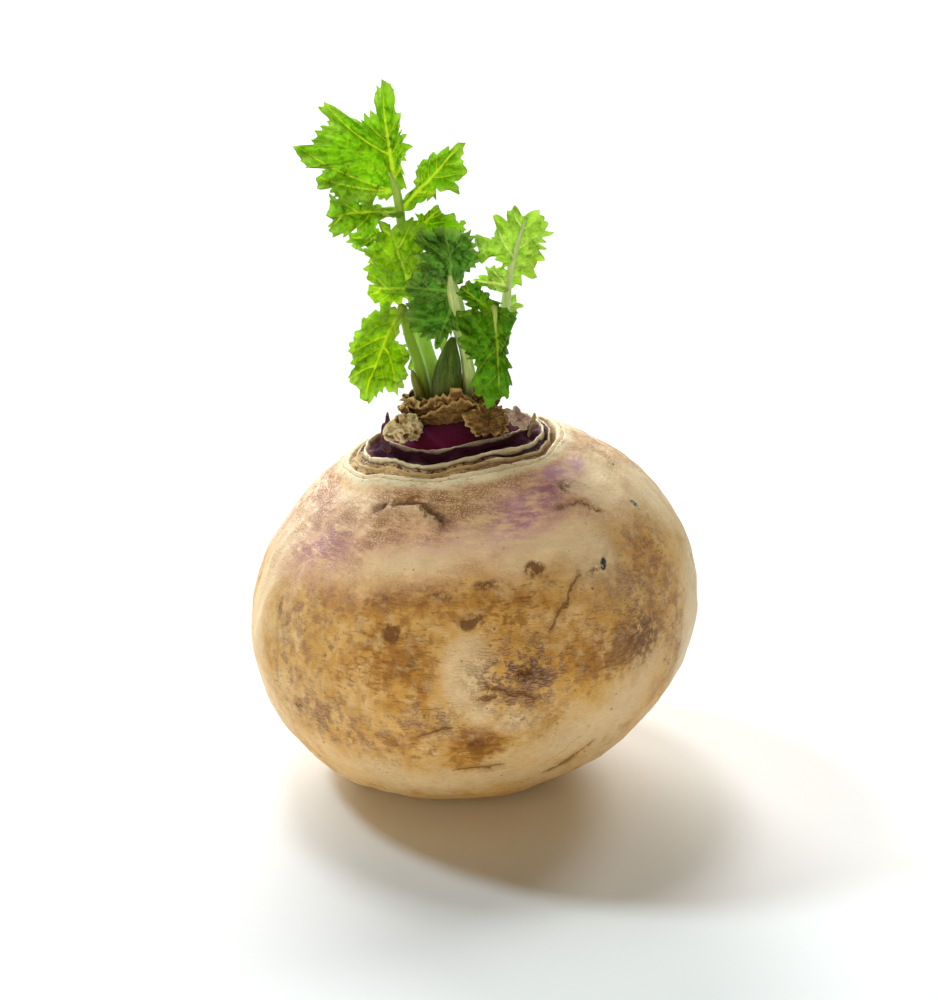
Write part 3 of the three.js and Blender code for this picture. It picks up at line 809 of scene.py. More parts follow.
class SkinLook:
    """The root's material, laid on in coats: flesh, stains, cork, flush, marks, the crown and the cracks."""

    def __init__(self, form: RootForm, effects: Effects, finish: SkinFinish) -> None:
        """Starts the material with the values that several coats share.

        Args:
            form: The root's form, whose leaning axis the zones follow.
            effects: The shared node groups.
            finish: The skin's colours and zones.
        """
        self.graph, self.shader, _ = new_material("turnip_skin")
        self.effects, self.finish = effects, finish
        graph = self.graph
        self.place = graph.millimetres()
        self.streaked = graph.stretched(self.place, (0.5, 0.5, 1.8))
        self.painted = {kind: graph.read(kind.value) for kind in Skin}
        self.ring, self.around = graph.read("ring"), graph.read("around")

        level = graph.vectors("DOT_PRODUCT", self.place, tuple(form.axis), result="Value")
        self.height = graph.scaled(graph.noise(self.place, 9, 3), 9.0, level)
        self.grain = graph.noise(self.streaked, 0.7, 5, 0.7)
        self.speckle = graph.noise(self.place, 1.9, 5, 0.7)
        self.streak = graph.noise(graph.stretched(self.place, (0.35, 0.35, 1.6)), 1.6, 5, 0.65)

        # Pale clear skin, partly painted light along the edges and on the right shoulder.
        clear = graph.times(self.painted[Skin.PALE], graph.span(self.speckle, 0.25, 0.55, 0.65, 1.0))
        self.clear = graph.math("MINIMUM", clear, 1.0)
        self.open_skin = graph.math("SUBTRACT", 1.0, graph.times(self.clear, 0.85))
        band = graph.stretched(self.place, (0.6, 0.6, 1.7))
        self.net = graph.mask(effects.netting, Place=band, Size=1.0, Width=0.2)
        self.fine_net = graph.mask(effects.netting, Place=band, Size=0.5, Width=0.25)
        uneven = graph.span(graph.noise(self.place, 2.2, 6, 0.65), 0.4, 0.58)
        self.rough = graph.times(self.painted[Skin.ROUGH], uneven)
        self.cork = graph.times(
            graph.span(self.ring, *finish.cork_distances),
            graph.span(graph.noise(self.place, 6, 4), 0.32, 0.52),
            self.open_skin,
            graph.span(self.streak, 0.3, 0.55),
        )

        crack = graph.read("crack", "Vector")
        # The third value is the lip's height, which places a lifted crack's painted shadow and painted
        # highlight.
        across, self.crack_here, self.crack_lip_and_highlight = (graph.axis(crack, letter) for letter in "XYZ")
        shift = graph.scaled(graph.noise(self.place, 3.2, 5, 0.65), 5.0, -2.5)
        self.crack_away = graph.math("ABSOLUTE", graph.math("ADD", across, shift))
        self.crack_across = graph.scaled(shift, 0.4, across)
        patchy = graph.span(graph.noise(self.place, 2.2, 3), 0.36, 0.5, 0.25, 1.0)
        self.crack_broken = graph.times(self.crack_here, patchy)
        self.crack_line = graph.times(graph.span(self.crack_away, 0.5, 0.12), self.crack_broken)

    def build(self) -> Material:
        """Lays the coats in order and sets up the shader.

        Returns:
            The material.
        """
        graph, finish = self.graph, self.finish
        colour = graph.coats(
            self.flesh(), *self.stains(), *self.flushes(), *self.marks(), self.crown_coat(), *self.cracks()
        )
        dull_crown = graph.span(self.ring, *finish.crown_dull, 0, 2)
        dull = graph.most(self.rough, graph.times(self.cork, 0.8), self.crack_line, dull_crown)
        shine = graph.scaled(graph.noise(self.place, 2.6), 0.12, 0.36)
        relief = graph.scaled(self.grain, 0.5, graph.times(self.speckle, 0.5))
        relief = graph.scaled(graph.times(self.net, graph.math("ADD", self.rough, 0.15)), -0.5, relief)
        relief = graph.scaled(graph.times(self.fine_net, self.cork), -0.45, relief)
        relief = graph.scaled(self.crack_line, -1.6, relief)
        graph.fill(
            self.shader, Base_Color=colour, Roughness=graph.scaled(dull, 0.26, shine),
            Normal=graph.bump(relief, 0.34), Specular_IOR_Level=0.26, Subsurface_Weight=0.08,
            Subsurface_Radius=(1.0, 0.5, 0.25), Subsurface_Scale=0.002,
        )
        return bpy.data.materials["turnip_skin"]

    def flesh(self) -> Socket:
        """Gives the bare flesh with its streaky grain.

        Returns:
            The colour.
        """
        graph, finish = self.graph, self.finish
        return graph.coats(
            graph.ramp(graph.noise(self.place, 9, 6, 0.62), finish.flesh),
            (graph.times(graph.span(self.height, *finish.underside_heights), 0.5), finish.underside),
            (graph.span(self.grain, 0.5, 0.68, 0, 0.5), finish.dark_grain),
            (graph.span(self.grain, 0.47, 0.32, 0, 0.45), finish.light_grain),
        )

    def stains(self) -> list[Coat]:
        """Gives the ochre washes, worn patches, pale clear patches that are partly painted light, freckles and
        rough netted skin.

        Returns:
            The coats.
        """
        graph, finish, mottle = self.graph, self.finish, self.effects.mottle
        shore = graph.scaled(graph.noise(self.place, 2.8, 4, 0.65), 8.0, self.height)
        zone = graph.times(
            graph.span(shore, *finish.stain_top), graph.span(self.height, *finish.stain_foot, 0.35, 1.0)
        )
        bias = graph.scaled(zone, 0.13, -0.17)
        bias = graph.scaled(self.painted[Skin.STAIN], 0.13, bias)
        bias = graph.scaled(self.clear, -0.24, bias)
        coats = []
        for wash in finish.washes:
            place = self.streaked if wash.streaked else self.place
            spread = graph.math("ADD", bias, wash.spread)
            spots = graph.mask(mottle, Place=place, Size=wash.size, Bias=spread, Edge=wash.edge)
            coats.append((graph.times(spots, wash.cover), wash.tone))
        worn = graph.mask(mottle, Place=self.place, Size=3.2, Bias=-0.08, Edge=0.09)
        cells = graph.fill(graph.node("ShaderNodeTexVoronoi"), Vector=self.place, Scale=0.42)
        dots = graph.span(cells.outputs["Distance"], 0.17, 0.07)
        rough = graph.blend(graph.times(self.net, 0.6), finish.rough, finish.rough_net)
        return coats + [
            (graph.times(worn, 0.4), finish.worn),
            # Pale clear patches, partly painted light.
            (graph.times(self.clear, 0.65), finish.clear),
            (graph.times(dots, graph.span(self.speckle, 0.46, 0.6), 0.8), finish.freckle),
            (graph.times(self.rough, 0.8), rough),
        ]

    def flushes(self) -> list[Coat]:
        """Gives the blush, the cork and the purple flush on the shoulder.

        Returns:
            The coats.
        """
        graph, finish = self.graph, self.finish
        uneven = graph.span(graph.noise(self.place, 7, 5, 0.6), 0.3, 0.6, 0.3, 0.75)
        blush = graph.times(graph.span(self.height, *finish.blush_heights), self.open_skin, uneven)
        purple = graph.times(self.painted[Skin.FLUSH], graph.span(self.streak, 0.3, 0.62, 0.45, 1.0))
        violet = graph.blend(graph.span(purple, 0.3, 1.0), finish.mauve, finish.purple)
        return [
            (blush, finish.blush),
            (graph.times(self.cork, 0.85), graph.blend(self.fine_net, finish.cork, finish.cork_net)),
            (graph.span(purple, 0.08, 1.1, 0, 0.85), violet),
        ]

    def marks(self) -> list[Coat]:
        """Gives the dark spots and the chips.

        Returns:
            The coats.
        """
        graph, finish = self.graph, self.finish
        uneven = graph.span(graph.noise(self.place, 1.3, 5, 0.7), 0.34, 0.6, 0.3, 1.4)
        dark = graph.times(self.painted[Skin.DARK], uneven)
        chip = graph.scaled(self.speckle, 0.5, self.painted[Skin.CHIP])
        fleck = graph.span(graph.noise(self.place, 0.8), 0.45, 0.6)
        return [
            (graph.span(dark, 0.12, 0.9, 0, 0.9), finish.dark),
            (graph.span(chip, 0.75, 1.0), graph.blend(fleck, finish.chip, finish.chip_fleck)),
        ]

    def crown_coat(self) -> Coat:
        """Gives the crown: purple hollows between thin cream rims.

        Returns:
            The coat.
        """
        graph, finish = self.graph, self.finish
        frayed = graph.scaled(graph.noise(self.place, 0.7, 3, 0.6), 0.02, graph.math("ADD", self.ring, -0.01))
        stops = [(distance / finish.crown_reach, tone) for distance, tone in finish.crown]
        right = graph.span(self.around, *finish.crown_right)
        left = graph.math("SUBTRACT", 1.0, right)
        grain = graph.noise(graph.stretched(self.place, (0.5, 0.5, 1.6)), 0.7, 5, 0.7)
        valley = graph.times(graph.band(frayed, *finish.valley_sides), right, 0.8)
        straw = graph.times(graph.band(frayed, *finish.straw_sides), left)
        outside = graph.span(frayed, *finish.grained_rims)
        crown = graph.coats(
            graph.ramp(graph.math("DIVIDE", frayed, finish.crown_reach), stops),
            (valley, finish.crown_valley),
            (graph.times(straw, graph.span(grain, 0.38, 0.55)), finish.crown_straw),
            (graph.times(graph.span(grain, 0.54, 0.68, 0, 0.5), outside), finish.crown_light),
            (graph.times(graph.span(grain, 0.44, 0.32, 0, 0.6), outside), finish.crown_dark),
        )
        return graph.span(frayed, *finish.crown_distances), crown

    def cracks(self) -> list[Coat]:
        """Gives the cracks: dark lines, browned sides, and, where a side stands up, a painted shadow in the gap
        under it and a painted highlight on its lip.

        Returns:
            The coats.
        """
        graph, finish = self.graph, self.finish
        # Where a side stands up: a painted shadow in the gap under it and a painted highlight on its lip.
        lifted = graph.times(self.crack_lip_and_highlight, self.crack_here)
        gap_shadow = graph.band(self.crack_across, *finish.gap_shadow_sides)
        lip = graph.band(self.crack_across, *finish.lip_highlight_sides)
        return [
            (graph.times(self.crack_line, 0.65), finish.crack),
            (graph.times(graph.span(self.crack_away, 2.6, 0.3), self.crack_broken, 0.5), finish.crack_side),
            (graph.times(gap_shadow, lifted), finish.crack_gap_shadow),
            (graph.times(lip, lifted, 0.6), finish.crack_lip_and_highlight),
        ]


@dataclass
class Root:
    """The root with its crown of old leaf scars, its stains, cracks and netted skin.

    Steps are the crown's profile as (distance from its axis, height). The mesh has rings round that axis.
    Down to crown_edge they follow the uneven rims, found in row_passes rounds, and below it they even out
    over row_drift radians. Wart_skin is how far the wart's uneven skin reaches. Crack_unit is the distance
    that a crack's half width counts as in the skin, and crack_width and lip_width are counted that way.
    """

    form: RootForm
    effects: Effects
    finish: SkinFinish = SkinFinish()
    sides: int = 380
    crown_edge: float = 26
    body_step: float = 0.95
    body_begins: Span = (22, 30)
    wander_begins: Span = (10, 14)
    wander_ends: Span = (30, 24)
    wart_height: float = 1.2
    wart_radius: float = 2.8
    wart_pit: float = 1.1
    wart_skin: float = 5
    crack_depth: float = 0.3
    crack_width: float = 0.5
    crack_unit: float = 0.25
    lip_width: float = 1.7
    row_passes: int = 3
    row_drift: float = 0.5
    steps: Pairs = (
        (0, 1.2), (5, 1.6), (8.4, 2.2), (9.6, 1.9), (11.2, -0.3), (12.6, -1.5), (13.9, -1.5), (14.25, -0.6),
        (14.4, 0.1), (14.6, 0.15), (14.68, -0.9), (15.1, -2.1), (16.6, -2.2), (17.5, -1.6), (18.05, -0.1),
        (18.3, 0.0), (18.45, -0.7), (19, -1.1), (19.5, -0.5), (19.75, -0.35), (19.95, -0.9), (20.9, -0.9),
        (21.3, -0.2), (21.8, 0.1), (22.3, -0.05), (22.7, 0.1), (23.2, 0.02), (24.5, 0),
    )

    def build(self) -> Piece:
        """Builds the root's mesh with its painted values.

        Returns:
            The object that stands for the CAD root.
        """
        targets, body = self.crown_rings(), self.body_angles()
        turns = np.linspace(0, 2 * math.pi, self.sides, endpoint=False)
        rings = np.concatenate([np.arcsin(targets / self.form.rise), body])
        polar, turn = np.meshgrid(rings, turns, indexing="ij")
        turn_all = np.append(turn, [0, 0])
        count = len(targets)
        for _ in range(self.row_passes):
            ring = self.plain_surface(polar, turn, turn_all)[2]
            seen = ring[:-2].reshape(polar.shape)[:count]
            slope = np.gradient(seen, axis=0) / np.gradient(polar[:count], axis=0)
            polar[:count] -= (seen - targets[:, None]) / slope
            moved = polar[count - 1] - rings[count - 1]
            polar[count:] = body[:, None] + moved * fade(body, body[0] + self.row_drift, body[0])[:, None]
        directions, points, ring = self.plain_surface(polar, turn, turn_all)
        radii, heights = np.array(self.steps).T
        rise = np.interp(ring, radii, heights) * self.rim_strength(points, ring)
        points += self.form.crown_axis * (rise * (directions @ self.form.crown_axis > 0))[:, None]
        crack = self.crack_field(points, directions)
        points += directions * self.relief(points, ring, crack)[:, None]
        points[:, 2] = np.maximum(points[:, 2], 0)
        surface = Surface()
        surface.add(
            points,
            capped_faces(len(rings), self.sides),
            ring=ring,
            around=(np.degrees(turn_all) + 180) % 360 - 180,
            crack=crack,
            **{kind.value: self.painted(kind, points) for kind in Skin},
        )
        look = SkinLook(self.form, self.effects, self.finish).build()
        piece = surface.to_object("turnip_root_skin", look)
        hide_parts("turnip_root")
        return piece

    def plain_surface(
        self, polar: np.ndarray, turn: np.ndarray, turn_all: np.ndarray
    ) -> tuple[np.ndarray, np.ndarray, np.ndarray]:
        """Lays the grid on the plain root, before the crown's steps.

        Args:
            polar: Angles from the crown's axis, of shape (rings, sides).
            turn: Angles round it, of the same shape.
            turn_all: The same angles in one row, with two more for the ends.

        Returns:
            Headings, points and their distances from the crown's axis as the uneven rims see it.
        """
        local = ball(polar, turn)
        ends = np.array([[0, 0, 1.0], [0, 0, -1.0]])
        directions = np.concatenate([local.reshape(-1, 3), ends]) @ self.form.turn.T
        reach = self.form.reach(directions)
        points = self.form.centre + directions * reach[:, None]
        toward = directions @ self.form.crown_axis
        distance = reach * np.sqrt(np.maximum(0, 1 - toward**2))
        return directions, points, np.where(toward > 0, self.wandering(points, distance, turn_all), 90)

    def crown_rings(self) -> np.ndarray:
        """Lays out the crown's rings, closest together at the rims.

        Returns:
            Their distances from the crown's axis.
        """
        spans = (
            (0.5, 12.5, 0.4), (12.5, 14.2, 0.2), (14.2, 14.8, 0.04), (14.8, 17.8, 0.2), (17.8, 18.6, 0.05),
            (18.6, 19.4, 0.16), (19.4, 20.1, 0.06), (20.1, 23.4, 0.15), (23.4, self.crown_edge, 0.3),
        )
        return np.concatenate([np.arange(*span) for span in spans])

    def body_angles(self) -> np.ndarray:
        """Lays out the rings below the crown.

        Returns:
            Their angles from the crown's axis.
        """
        edge = math.asin(self.crown_edge / self.form.rise)
        length = (math.pi - edge) * self.form.rise * 1.1
        return np.linspace(edge, math.pi - POLE_GAP / 2, round(length / self.body_step))

    def wandering(self, points: np.ndarray, distance: np.ndarray, turn: np.ndarray) -> np.ndarray:
        """Gives the distance from the crown's axis as the uneven rims see it.

        Args:
            points: Surface points.
            distance: True distance from the axis.
            turn: Angle round the axis.

        Returns:
            Distance in millimetres after the rims' wander.
        """
        slow = 0.45 * Ripple(3, 16)(points) + 0.07 * Ripple(4, 2.6)(points)
        lobes = 0.22 * np.sin(5 * turn + 1.1) + 0.12 * np.sin(9 * turn)
        near = fade(distance, *self.wander_begins) * fade(distance, *self.wander_ends)
        return distance + (slow + lobes) * near

    @staticmethod
    def rim_strength(points: np.ndarray, ring: np.ndarray) -> np.ndarray:
        """Lets the rims stand higher here and lower there."""
        return 1 + 0.28 * Ripple(5, 7)(points) * fade(ring, 12, 14)

    def relief(self, points: np.ndarray, ring: np.ndarray, crack: np.ndarray) -> np.ndarray:
        """Gives the low relief of the skin: dents, fine unevenness, cracks and their lips.

        Args:
            points: Surface points.
            ring: Distance from the crown's axis.
            crack: Crack values of each point, as crack_field gives them.

        Returns:
            Height in millimetres.
        """
        body = fade(ring, *self.body_begins)
        height = body * (0.16 * Ripple(6, 22)(points) + 0.07 * Ripple(7, 6)(points))
        height += (1 - body) * 0.025 * Ripple(8, 1.6)(points) + 0.02 * Ripple(9, 2.4)(points)
        away = np.linalg.norm(points - self.form.at(*WART), axis=1)
        height += self.wart_height * np.exp(-((away / self.wart_radius) ** 2))
        height -= self.wart_height * np.exp(-((away / self.wart_pit) ** 2))
        wrinkled = 0.22 * np.cos(away * 3.2) + 0.26 * Ripple(10, 1.9)(points)
        height += wrinkled * np.exp(-((away / self.wart_skin) ** 2))
        across, present, lip = crack.T
        proud = np.where(across > 0, np.exp(-((across / self.lip_width) ** 2)), 0)
        sunk = self.crack_depth * np.exp(-((across / self.crack_width) ** 2))
        return height + present * (lip * proud - sunk)

    def crack_field(self, points: np.ndarray, directions: np.ndarray) -> np.ndarray:
        """Finds the nearest crack to each point.

        Args:
            points: Surface points.
            directions: Their headings from the root's middle.

        Returns:
            For each point the signed distance across the nearest crack, stretched so that its half width
            counts as the crack unit, how much it is beside the crack's length, and the lip's height.
        """
        away_limit, segment_reach = 5.0, 12
        nearest = np.full(len(points), away_limit)
        result = np.zeros((len(points), 3))
        result[:, 0] = away_limit
        for crack in CRACKS:
            path = np.array([self.form.at(*heading_pair) for heading_pair in crack.path])
            total = np.linalg.norm(np.diff(path, axis=0), axis=1).sum()
            done = 0.0
            for start, end in zip(path[:-1], path[1:]):
                close = np.where(np.linalg.norm(points - (start + end) / 2, axis=1) < segment_reach)[0]
                step = end - start
                length = np.linalg.norm(step)
                offset = points[close] - start
                along = offset @ step / length**2
                foot = offset - np.clip(along, 0, 1)[:, None] * step
                away = np.linalg.norm(foot, axis=1)
                side = np.sign(np.einsum("ij,ij->i", np.cross(step, foot), -directions[close]))
                where = done + np.clip(along, -0.5, 1.5) * length
                inside = fade(where, -0.4, 0.15 * total) * fade(where, total + 0.4, 0.85 * total)
                better = away < nearest[close]
                chosen = close[better]
                nearest[chosen] = away[better]
                result[chosen, 0] = (side * away)[better] * self.crack_unit / crack.width
                result[chosen, 1] = inside[better]
                result[chosen, 2] = crack.lip
                done += length
        return result

    def painted(self, kind: Skin, points: np.ndarray) -> np.ndarray:
        """Gives how strongly one kind of mark covers each point.

        Args:
            kind: The kind of mark.
            points: Surface points.

        Returns:
            Values from 0 up to the strength of the strongest mark.
        """
        total = np.zeros(len(points))
        for mark in MARKS[kind]:
            centre = self.form.at(mark.azimuth, mark.elevation)
            out = heading(mark.azimuth, mark.elevation)
            east = unit(np.cross([0, 0, 1.0], out))
            north = np.cross(out, east)
            turn = math.radians(mark.turn)
            offset = points - centre
            right, up = offset @ east, offset @ north
            u = (right * math.cos(turn) + up * math.sin(turn)) / mark.half[0]
            v = (up * math.cos(turn) - right * math.sin(turn)) / mark.half[1]
            near = fade(offset @ out, -12, -6)
            total = np.maximum(total, mark.strength * np.exp(-((u * u + v * v) ** 1.3) * 0.7) * near)
        return total


# ---- Leaves ----


@dataclass(frozen=True)
class LeafFinish:
    """Colours of one leaf: dark spots with painted shade in the creases, light patches with painted light on
    the bulges, the light shining through, veins, stalk, underside and a painted highlight along the margin.

    Through is the share of light that a blade lets through, foot is the stain at the stalk's foot, and
    tip_light is how much a hanging blade's lower end brightens.
    """

    name: str
    dark_and_crease_shade: Colour
    bright: Colour
    glow: Colour
    vein: Colour
    stalk: Colour
    through: float = 0.5
    roughness: float = 0.42
    under: Colour = (0.20, 0.36, 0.13)
    # Painted highlight along the margin.
    margin_highlight: Colour = (0.62, 0.86, 0.16)
    foot: Colour = (0.09, 0.06, 0.02)
    tip_light: float = 0


@dataclass(frozen=True)
class Blade:
    """A thin sheet on the line from its base to its tip, turned to a face.

    The outline is given round the heart, a point at that share of the line, as (angle, reach), with angles
    from the tip toward the blade's right. Arch is the height of the sheet's middle, curl is the bend of the
    left and right half per millimetre, and wave is the height and number of the ruffles at the margin. Teeth
    and frill are the margin's too, pucker and blister the heights of the bulges between the veins and of the
    creases, and midrib is the midrib's half width.
    """

    base: Point
    tip: Point
    face: Point
    outline: Pairs
    heart: float = 0.5
    arch: float = 0
    curl: Pair = (0, 0)
    wave: Pair = (0, 0)
    teeth: float = 0.9
    pucker: float = 0.7
    blister: float = 0.45
    frill: float = 1.25
    midrib: float = 0.5


@dataclass(frozen=True)
class Leaf:
    """One leaf: the CAD node it stands for, its finish, its stalk as (x, y, z, radius) and its blades."""

    node: str
    finish: LeafFinish
    stalk: tuple[tuple[float, float, float, float], ...]
    blades: tuple[Blade, ...] = ()


def catmull_rom(points: np.ndarray, steps: int) -> np.ndarray:
    """Runs a smooth curve through rows of numbers.

    Args:
        points: Rows that the curve passes through.
        steps: Number of steps between two rows.

    Returns:
        Rows along the curve.
    """
    padded = np.concatenate([[2 * points[0] - points[1]], points, [2 * points[-1] - points[-2]]])
    rows = []
    for i in range(len(points) - 1):
        a, b, c, d = padded[i : i + 4]
        for t in np.linspace(0, 1, steps, endpoint=False):
            square, cube = 2 * a - 5 * b + 4 * c - d, 3 * b - a - 3 * c + d
            rows.append(0.5 * (2 * b + (c - a) * t + square * t**2 + cube * t**3))
    return np.array(rows + [points[-1]])


def segments_away(
    spots: np.ndarray, paths: list[np.ndarray], widths: list[tuple[float, float, float]]
) -> np.ndarray:
    """Finds how far each spot is from the nearest of some tapering lines.

    Args:
        spots: Points of the flat sheet, shape (n, 2).
        paths: Lines, each of shape (m, 2).
        widths: Half width of each line at its start and its end, and how faint it is.

    Returns:
        For each spot, the distance to the nearest line over its half width there.
    """
    nearest = np.full(len(spots), 99.0)
    for path, (wide, narrow, faint) in zip(paths, widths):
        count = len(path) - 1
        for i in range(count):
            start, step = path[i], path[i + 1] - path[i]
            along = np.clip((spots - start) @ step / (step @ step + 1e-9), 0, 1)
            away = np.linalg.norm(spots - start - along[:, None] * step, axis=1)
            width = wide + (narrow - wide) * (i + along) / count
            nearest = np.minimum(nearest, np.hypot(away / width, faint))
    return nearest


@dataclass
class Tuft:
    """Builds the leaves in the tuft on the crown.

    A blade's points stand about mesh_step apart round its margin, and its rings ring_spread times that.
    Stalk_shade is how much less light a stalk lets through than its blades, and foot_stain is the two heights
    between which the stain at its foot fades out.
    """

    form: RootForm
    effects: Effects
    foot_shift: Point = (0.4, -2, 0)
    half_thickness: float = 0.16
    mesh_step: float = 0.26
    ring_spread: float = 1.5
    ray_limits: tuple[int, int] = (130, 400)
    ring_limits: tuple[int, int] = (12, 42)
    stalk_sides: int = 24
    stalk_steps: int = 10
    stalk_foot: float = 0.4
    stalk_taper: float = 0.55
    stalk_shade: float = 0.75
    foot_stain: Span = (13, 3)

    def build(self, leaf: Leaf, seed: int) -> Piece:
        """Builds one leaf.

        Args:
            leaf: The leaf.
            seed: Seed of its ruffles.

        Returns:
            The object that stands for the leaf's CAD node.
        """
        surface = Surface()
        for number, blade in enumerate(leaf.blades):
            self.add_blade(surface, blade, seed * 10 + number)
        if leaf.stalk:
            self.add_stalk(surface, np.array(leaf.stalk, float), self.stalk_taper if leaf.blades else 0)
        piece = surface.to_object(f"{leaf.node}_fresh", self.material(leaf.finish))
        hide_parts(leaf.node)
        slot_of(leaf.node)
        return piece

    @property
    def foot(self) -> np.ndarray:
        """The tuft's foot on the crown."""
        return self.form.crown_centre + np.array(self.foot_shift)

    def add_blade(self, surface: Surface, blade: Blade, seed: int) -> None:
        """Adds one blade: two sheets that meet at the margin.

        Args:
            surface: The leaf's mesh.
            blade: The blade.
            seed: Seed of its teeth and ruffles.
        """
        base, tip = np.array(blade.base, float), np.array(blade.tip, float)
        length = np.linalg.norm(tip - base)
        along = (tip - base) / length
        normal = np.array(blade.face, float)
        normal = unit(normal - normal @ along * along)
        side = np.cross(along, normal)

        reaches = np.array(blade.outline)[:, 1]
        rays = int(np.clip(6.3 * reaches.mean() / self.mesh_step, *self.ray_limits))
        rings = int(np.clip(reaches.max() / self.mesh_step / self.ring_spread, *self.ring_limits))
        angle = np.linspace(-180, 180, rays, endpoint=False)
        reach, frill = self.margin(blade, angle, seed)
        shares = (np.arange(1, rings + 1) / rings) ** 0.85
        share, turn = np.meshgrid(shares, np.radians(angle), indexing="ij")
        heart = blade.heart * length
        flat = np.stack([share * reach * np.sin(turn), heart + share * reach * np.cos(turn)], -1)
        flat = np.concatenate([flat.reshape(-1, 2), [[0, heart]]])
        share_all = np.append(share.ravel(), 0)
        angle_all = np.append(np.degrees(turn).ravel(), 0)

        near = segments_away(flat, *self.veins(blade, length))
        vein = np.exp(-(near**2))
        bulge = 1 - np.exp(-((near * 0.24) ** 2))
        spot = np.concatenate([flat, np.full((len(flat), 1), seed * 3.7)], 1)
        crease = np.exp(-((Ripple(seed + 30, 4.6)(spot) / 0.35) ** 2))
        finer = np.exp(-((Ripple(seed + 60, 2.3)(spot) / 0.4) ** 2))
        relief = blade.pucker * bulge - blade.blister * (crease + 0.5 * finer)
        height = self.sheet_height(blade, flat, share_all, angle_all, length) + relief - 0.1 * vein
        height += share_all**3.5 * np.append(np.tile(frill, rings), 0)
        height += 0.5 * share_all * Ripple(seed + 90, 9)(spot)
        middle = base + flat[:, :1] * side + flat[:, 1:] * along + height[:, None] * normal + self.foot
        half = self.half_thickness * (1 - share_all**6)
        last = (rings - 1) * rays
        inner = np.append(np.arange(last), last + rays)
        upper = middle + half[:, None] * normal
        lower = (middle - half[:, None] * normal)[inner]
        count = len(upper)
        margin = last + np.arange(rays)
        outer_ring = count + last - rays + np.arange(rays)
        faces = [
            grid_faces(rings, rays),
            grid_faces(rings - 1, rays, first=count, flip=True),
            band_faces(margin, outer_ring),
            fan_faces(np.arange(rays), count - 1, flip=True),
            fan_faces(count + np.arange(rays), count + len(lower) - 1),
        ]
        place = np.append(np.arange(count), inner)
        surface.add(
            np.concatenate([upper, lower]),
            faces,
            vein=vein[place],
            edge=share_all[place],
            relief=(0.5 + relief)[place],
            stem=np.zeros(len(place)),
            under=np.append(np.zeros(count), np.ones(len(lower))),
            sheet=np.concatenate([flat, np.full((count, 1), seed * 7.0)], 1)[place],
        )

    @staticmethod
    def margin(blade: Blade, angle: np.ndarray, seed: int) -> tuple[np.ndarray, np.ndarray]:
        """Gives the blade's reach at each angle, with its lobules and teeth, and its frill.

        Args:
            blade: The blade.
            angle: Angles in degrees, evenly spaced.
            seed: Seed of the margin.

        Returns:
            The reach and the height of the frill at the margin, in millimetres.
        """
        corners = np.array(blade.outline, float)
        before, after = corners[-1] - [360, 0], corners[0] + [360, 0]
        corners = np.concatenate([[before], corners, [after]])
        i = np.clip(np.searchsorted(corners[:, 0], angle, side="right") - 1, 0, len(corners) - 2)
        part = (angle - corners[i, 0]) / (corners[i + 1, 0] - corners[i, 0])
        reach = corners[i, 1] + (corners[i + 1, 1] - corners[i, 1]) * (0.5 - 0.5 * np.cos(math.pi * part))
        draw = np.random.default_rng(seed)
        walked = np.cumsum(np.hypot(np.gradient(reach), reach * math.radians(360 / len(angle))))
        start = draw.uniform(0, 2 * math.pi, 8)
        lobules = 0.55 * np.sin(walked * 1.15 + start[0]) + 0.45 * np.sin(walked * 2.1 + start[1])
        saw = (walked / draw.uniform(1.5, 1.9) + 0.25 * np.sin(walked * 0.9 + start[2])) % 1
        tooth = np.where(saw < 0.7, saw / 0.7, (1 - saw) / 0.3) - 0.6
        size = 0.75 + 0.35 * np.sin(walked / 2.7 + start[3])
        away = fade(np.abs(angle), 178, 155)
        jagged = blade.teeth * (0.55 * lobules + 1.15 * tooth * size) * away
        swell = 0.65 + 0.5 * np.sin(walked / 5.5 + start[4])
        waves = np.sin(walked * 1.2 + start[5]) + 0.7 * np.sin(walked * 2.4 + start[6])
        return np.maximum(reach + np.clip(jagged, -0.3 * reach, 1.4), 0.4), blade.frill * swell * waves * away

    @staticmethod
    def veins(blade: Blade, length: float) -> tuple[list[np.ndarray], list[tuple[float, float, float]]]:
        """Lays out the midrib, a side vein to each lobe's tip and branches off the side veins.

        Args:
            blade: The blade.
            length: Its length from base to tip.

        Returns:
            The veins as lines on the flat sheet, and their half widths at start and end with their faintness.
        """
        heart = blade.heart * length
        angles, reaches = np.array(blade.outline, float).T
        wide_angles = np.concatenate([angles - 360, angles, angles + 360])
        wide_reaches = np.tile(reaches, 3)
        front, back = np.interp([0, 180], wide_angles, wide_reaches)
        paths = [np.array([[0, heart - back], [0, heart], [0, heart + 0.93 * front]])]
        widths = [(blade.midrib, 0.16, 0)]
        tips = [
            angle
            for angle, reach, left, right in zip(angles, reaches, np.roll(reaches, 1), np.roll(reaches, -1))
            if reach >= max(left, right) and 12 < abs(angle) < 150
        ]
        between = [
            aim for aim in range(-148, 160, 24) if abs(aim) > 12 and all(abs(aim - tip) > 13 for tip in tips)
        ]
        for aim in tips + between:
            strong = aim in tips
            reach = (0.94 if strong else 0.82) * np.interp(aim, wide_angles, wide_reaches)
            end = np.array([reach * math.sin(math.radians(aim)), heart + reach * math.cos(math.radians(aim))])
            start = np.array([0, max(end[1] - abs(end[0]) * 0.95 - 0.8, heart - 0.95 * back)])
            bend = start + (end - start) * 0.5 + np.array([0.12 * (end[0] - start[0]), -0.05 * reach])
            t = np.linspace(0, 1, 8)[:, None]
            path = (1 - t) ** 2 * start + 2 * t * (1 - t) * bend + t**2 * end
            paths.append(path)
            widths.append((0.25, 0.14, 0) if strong else (0.19, 0.15, 0.6))
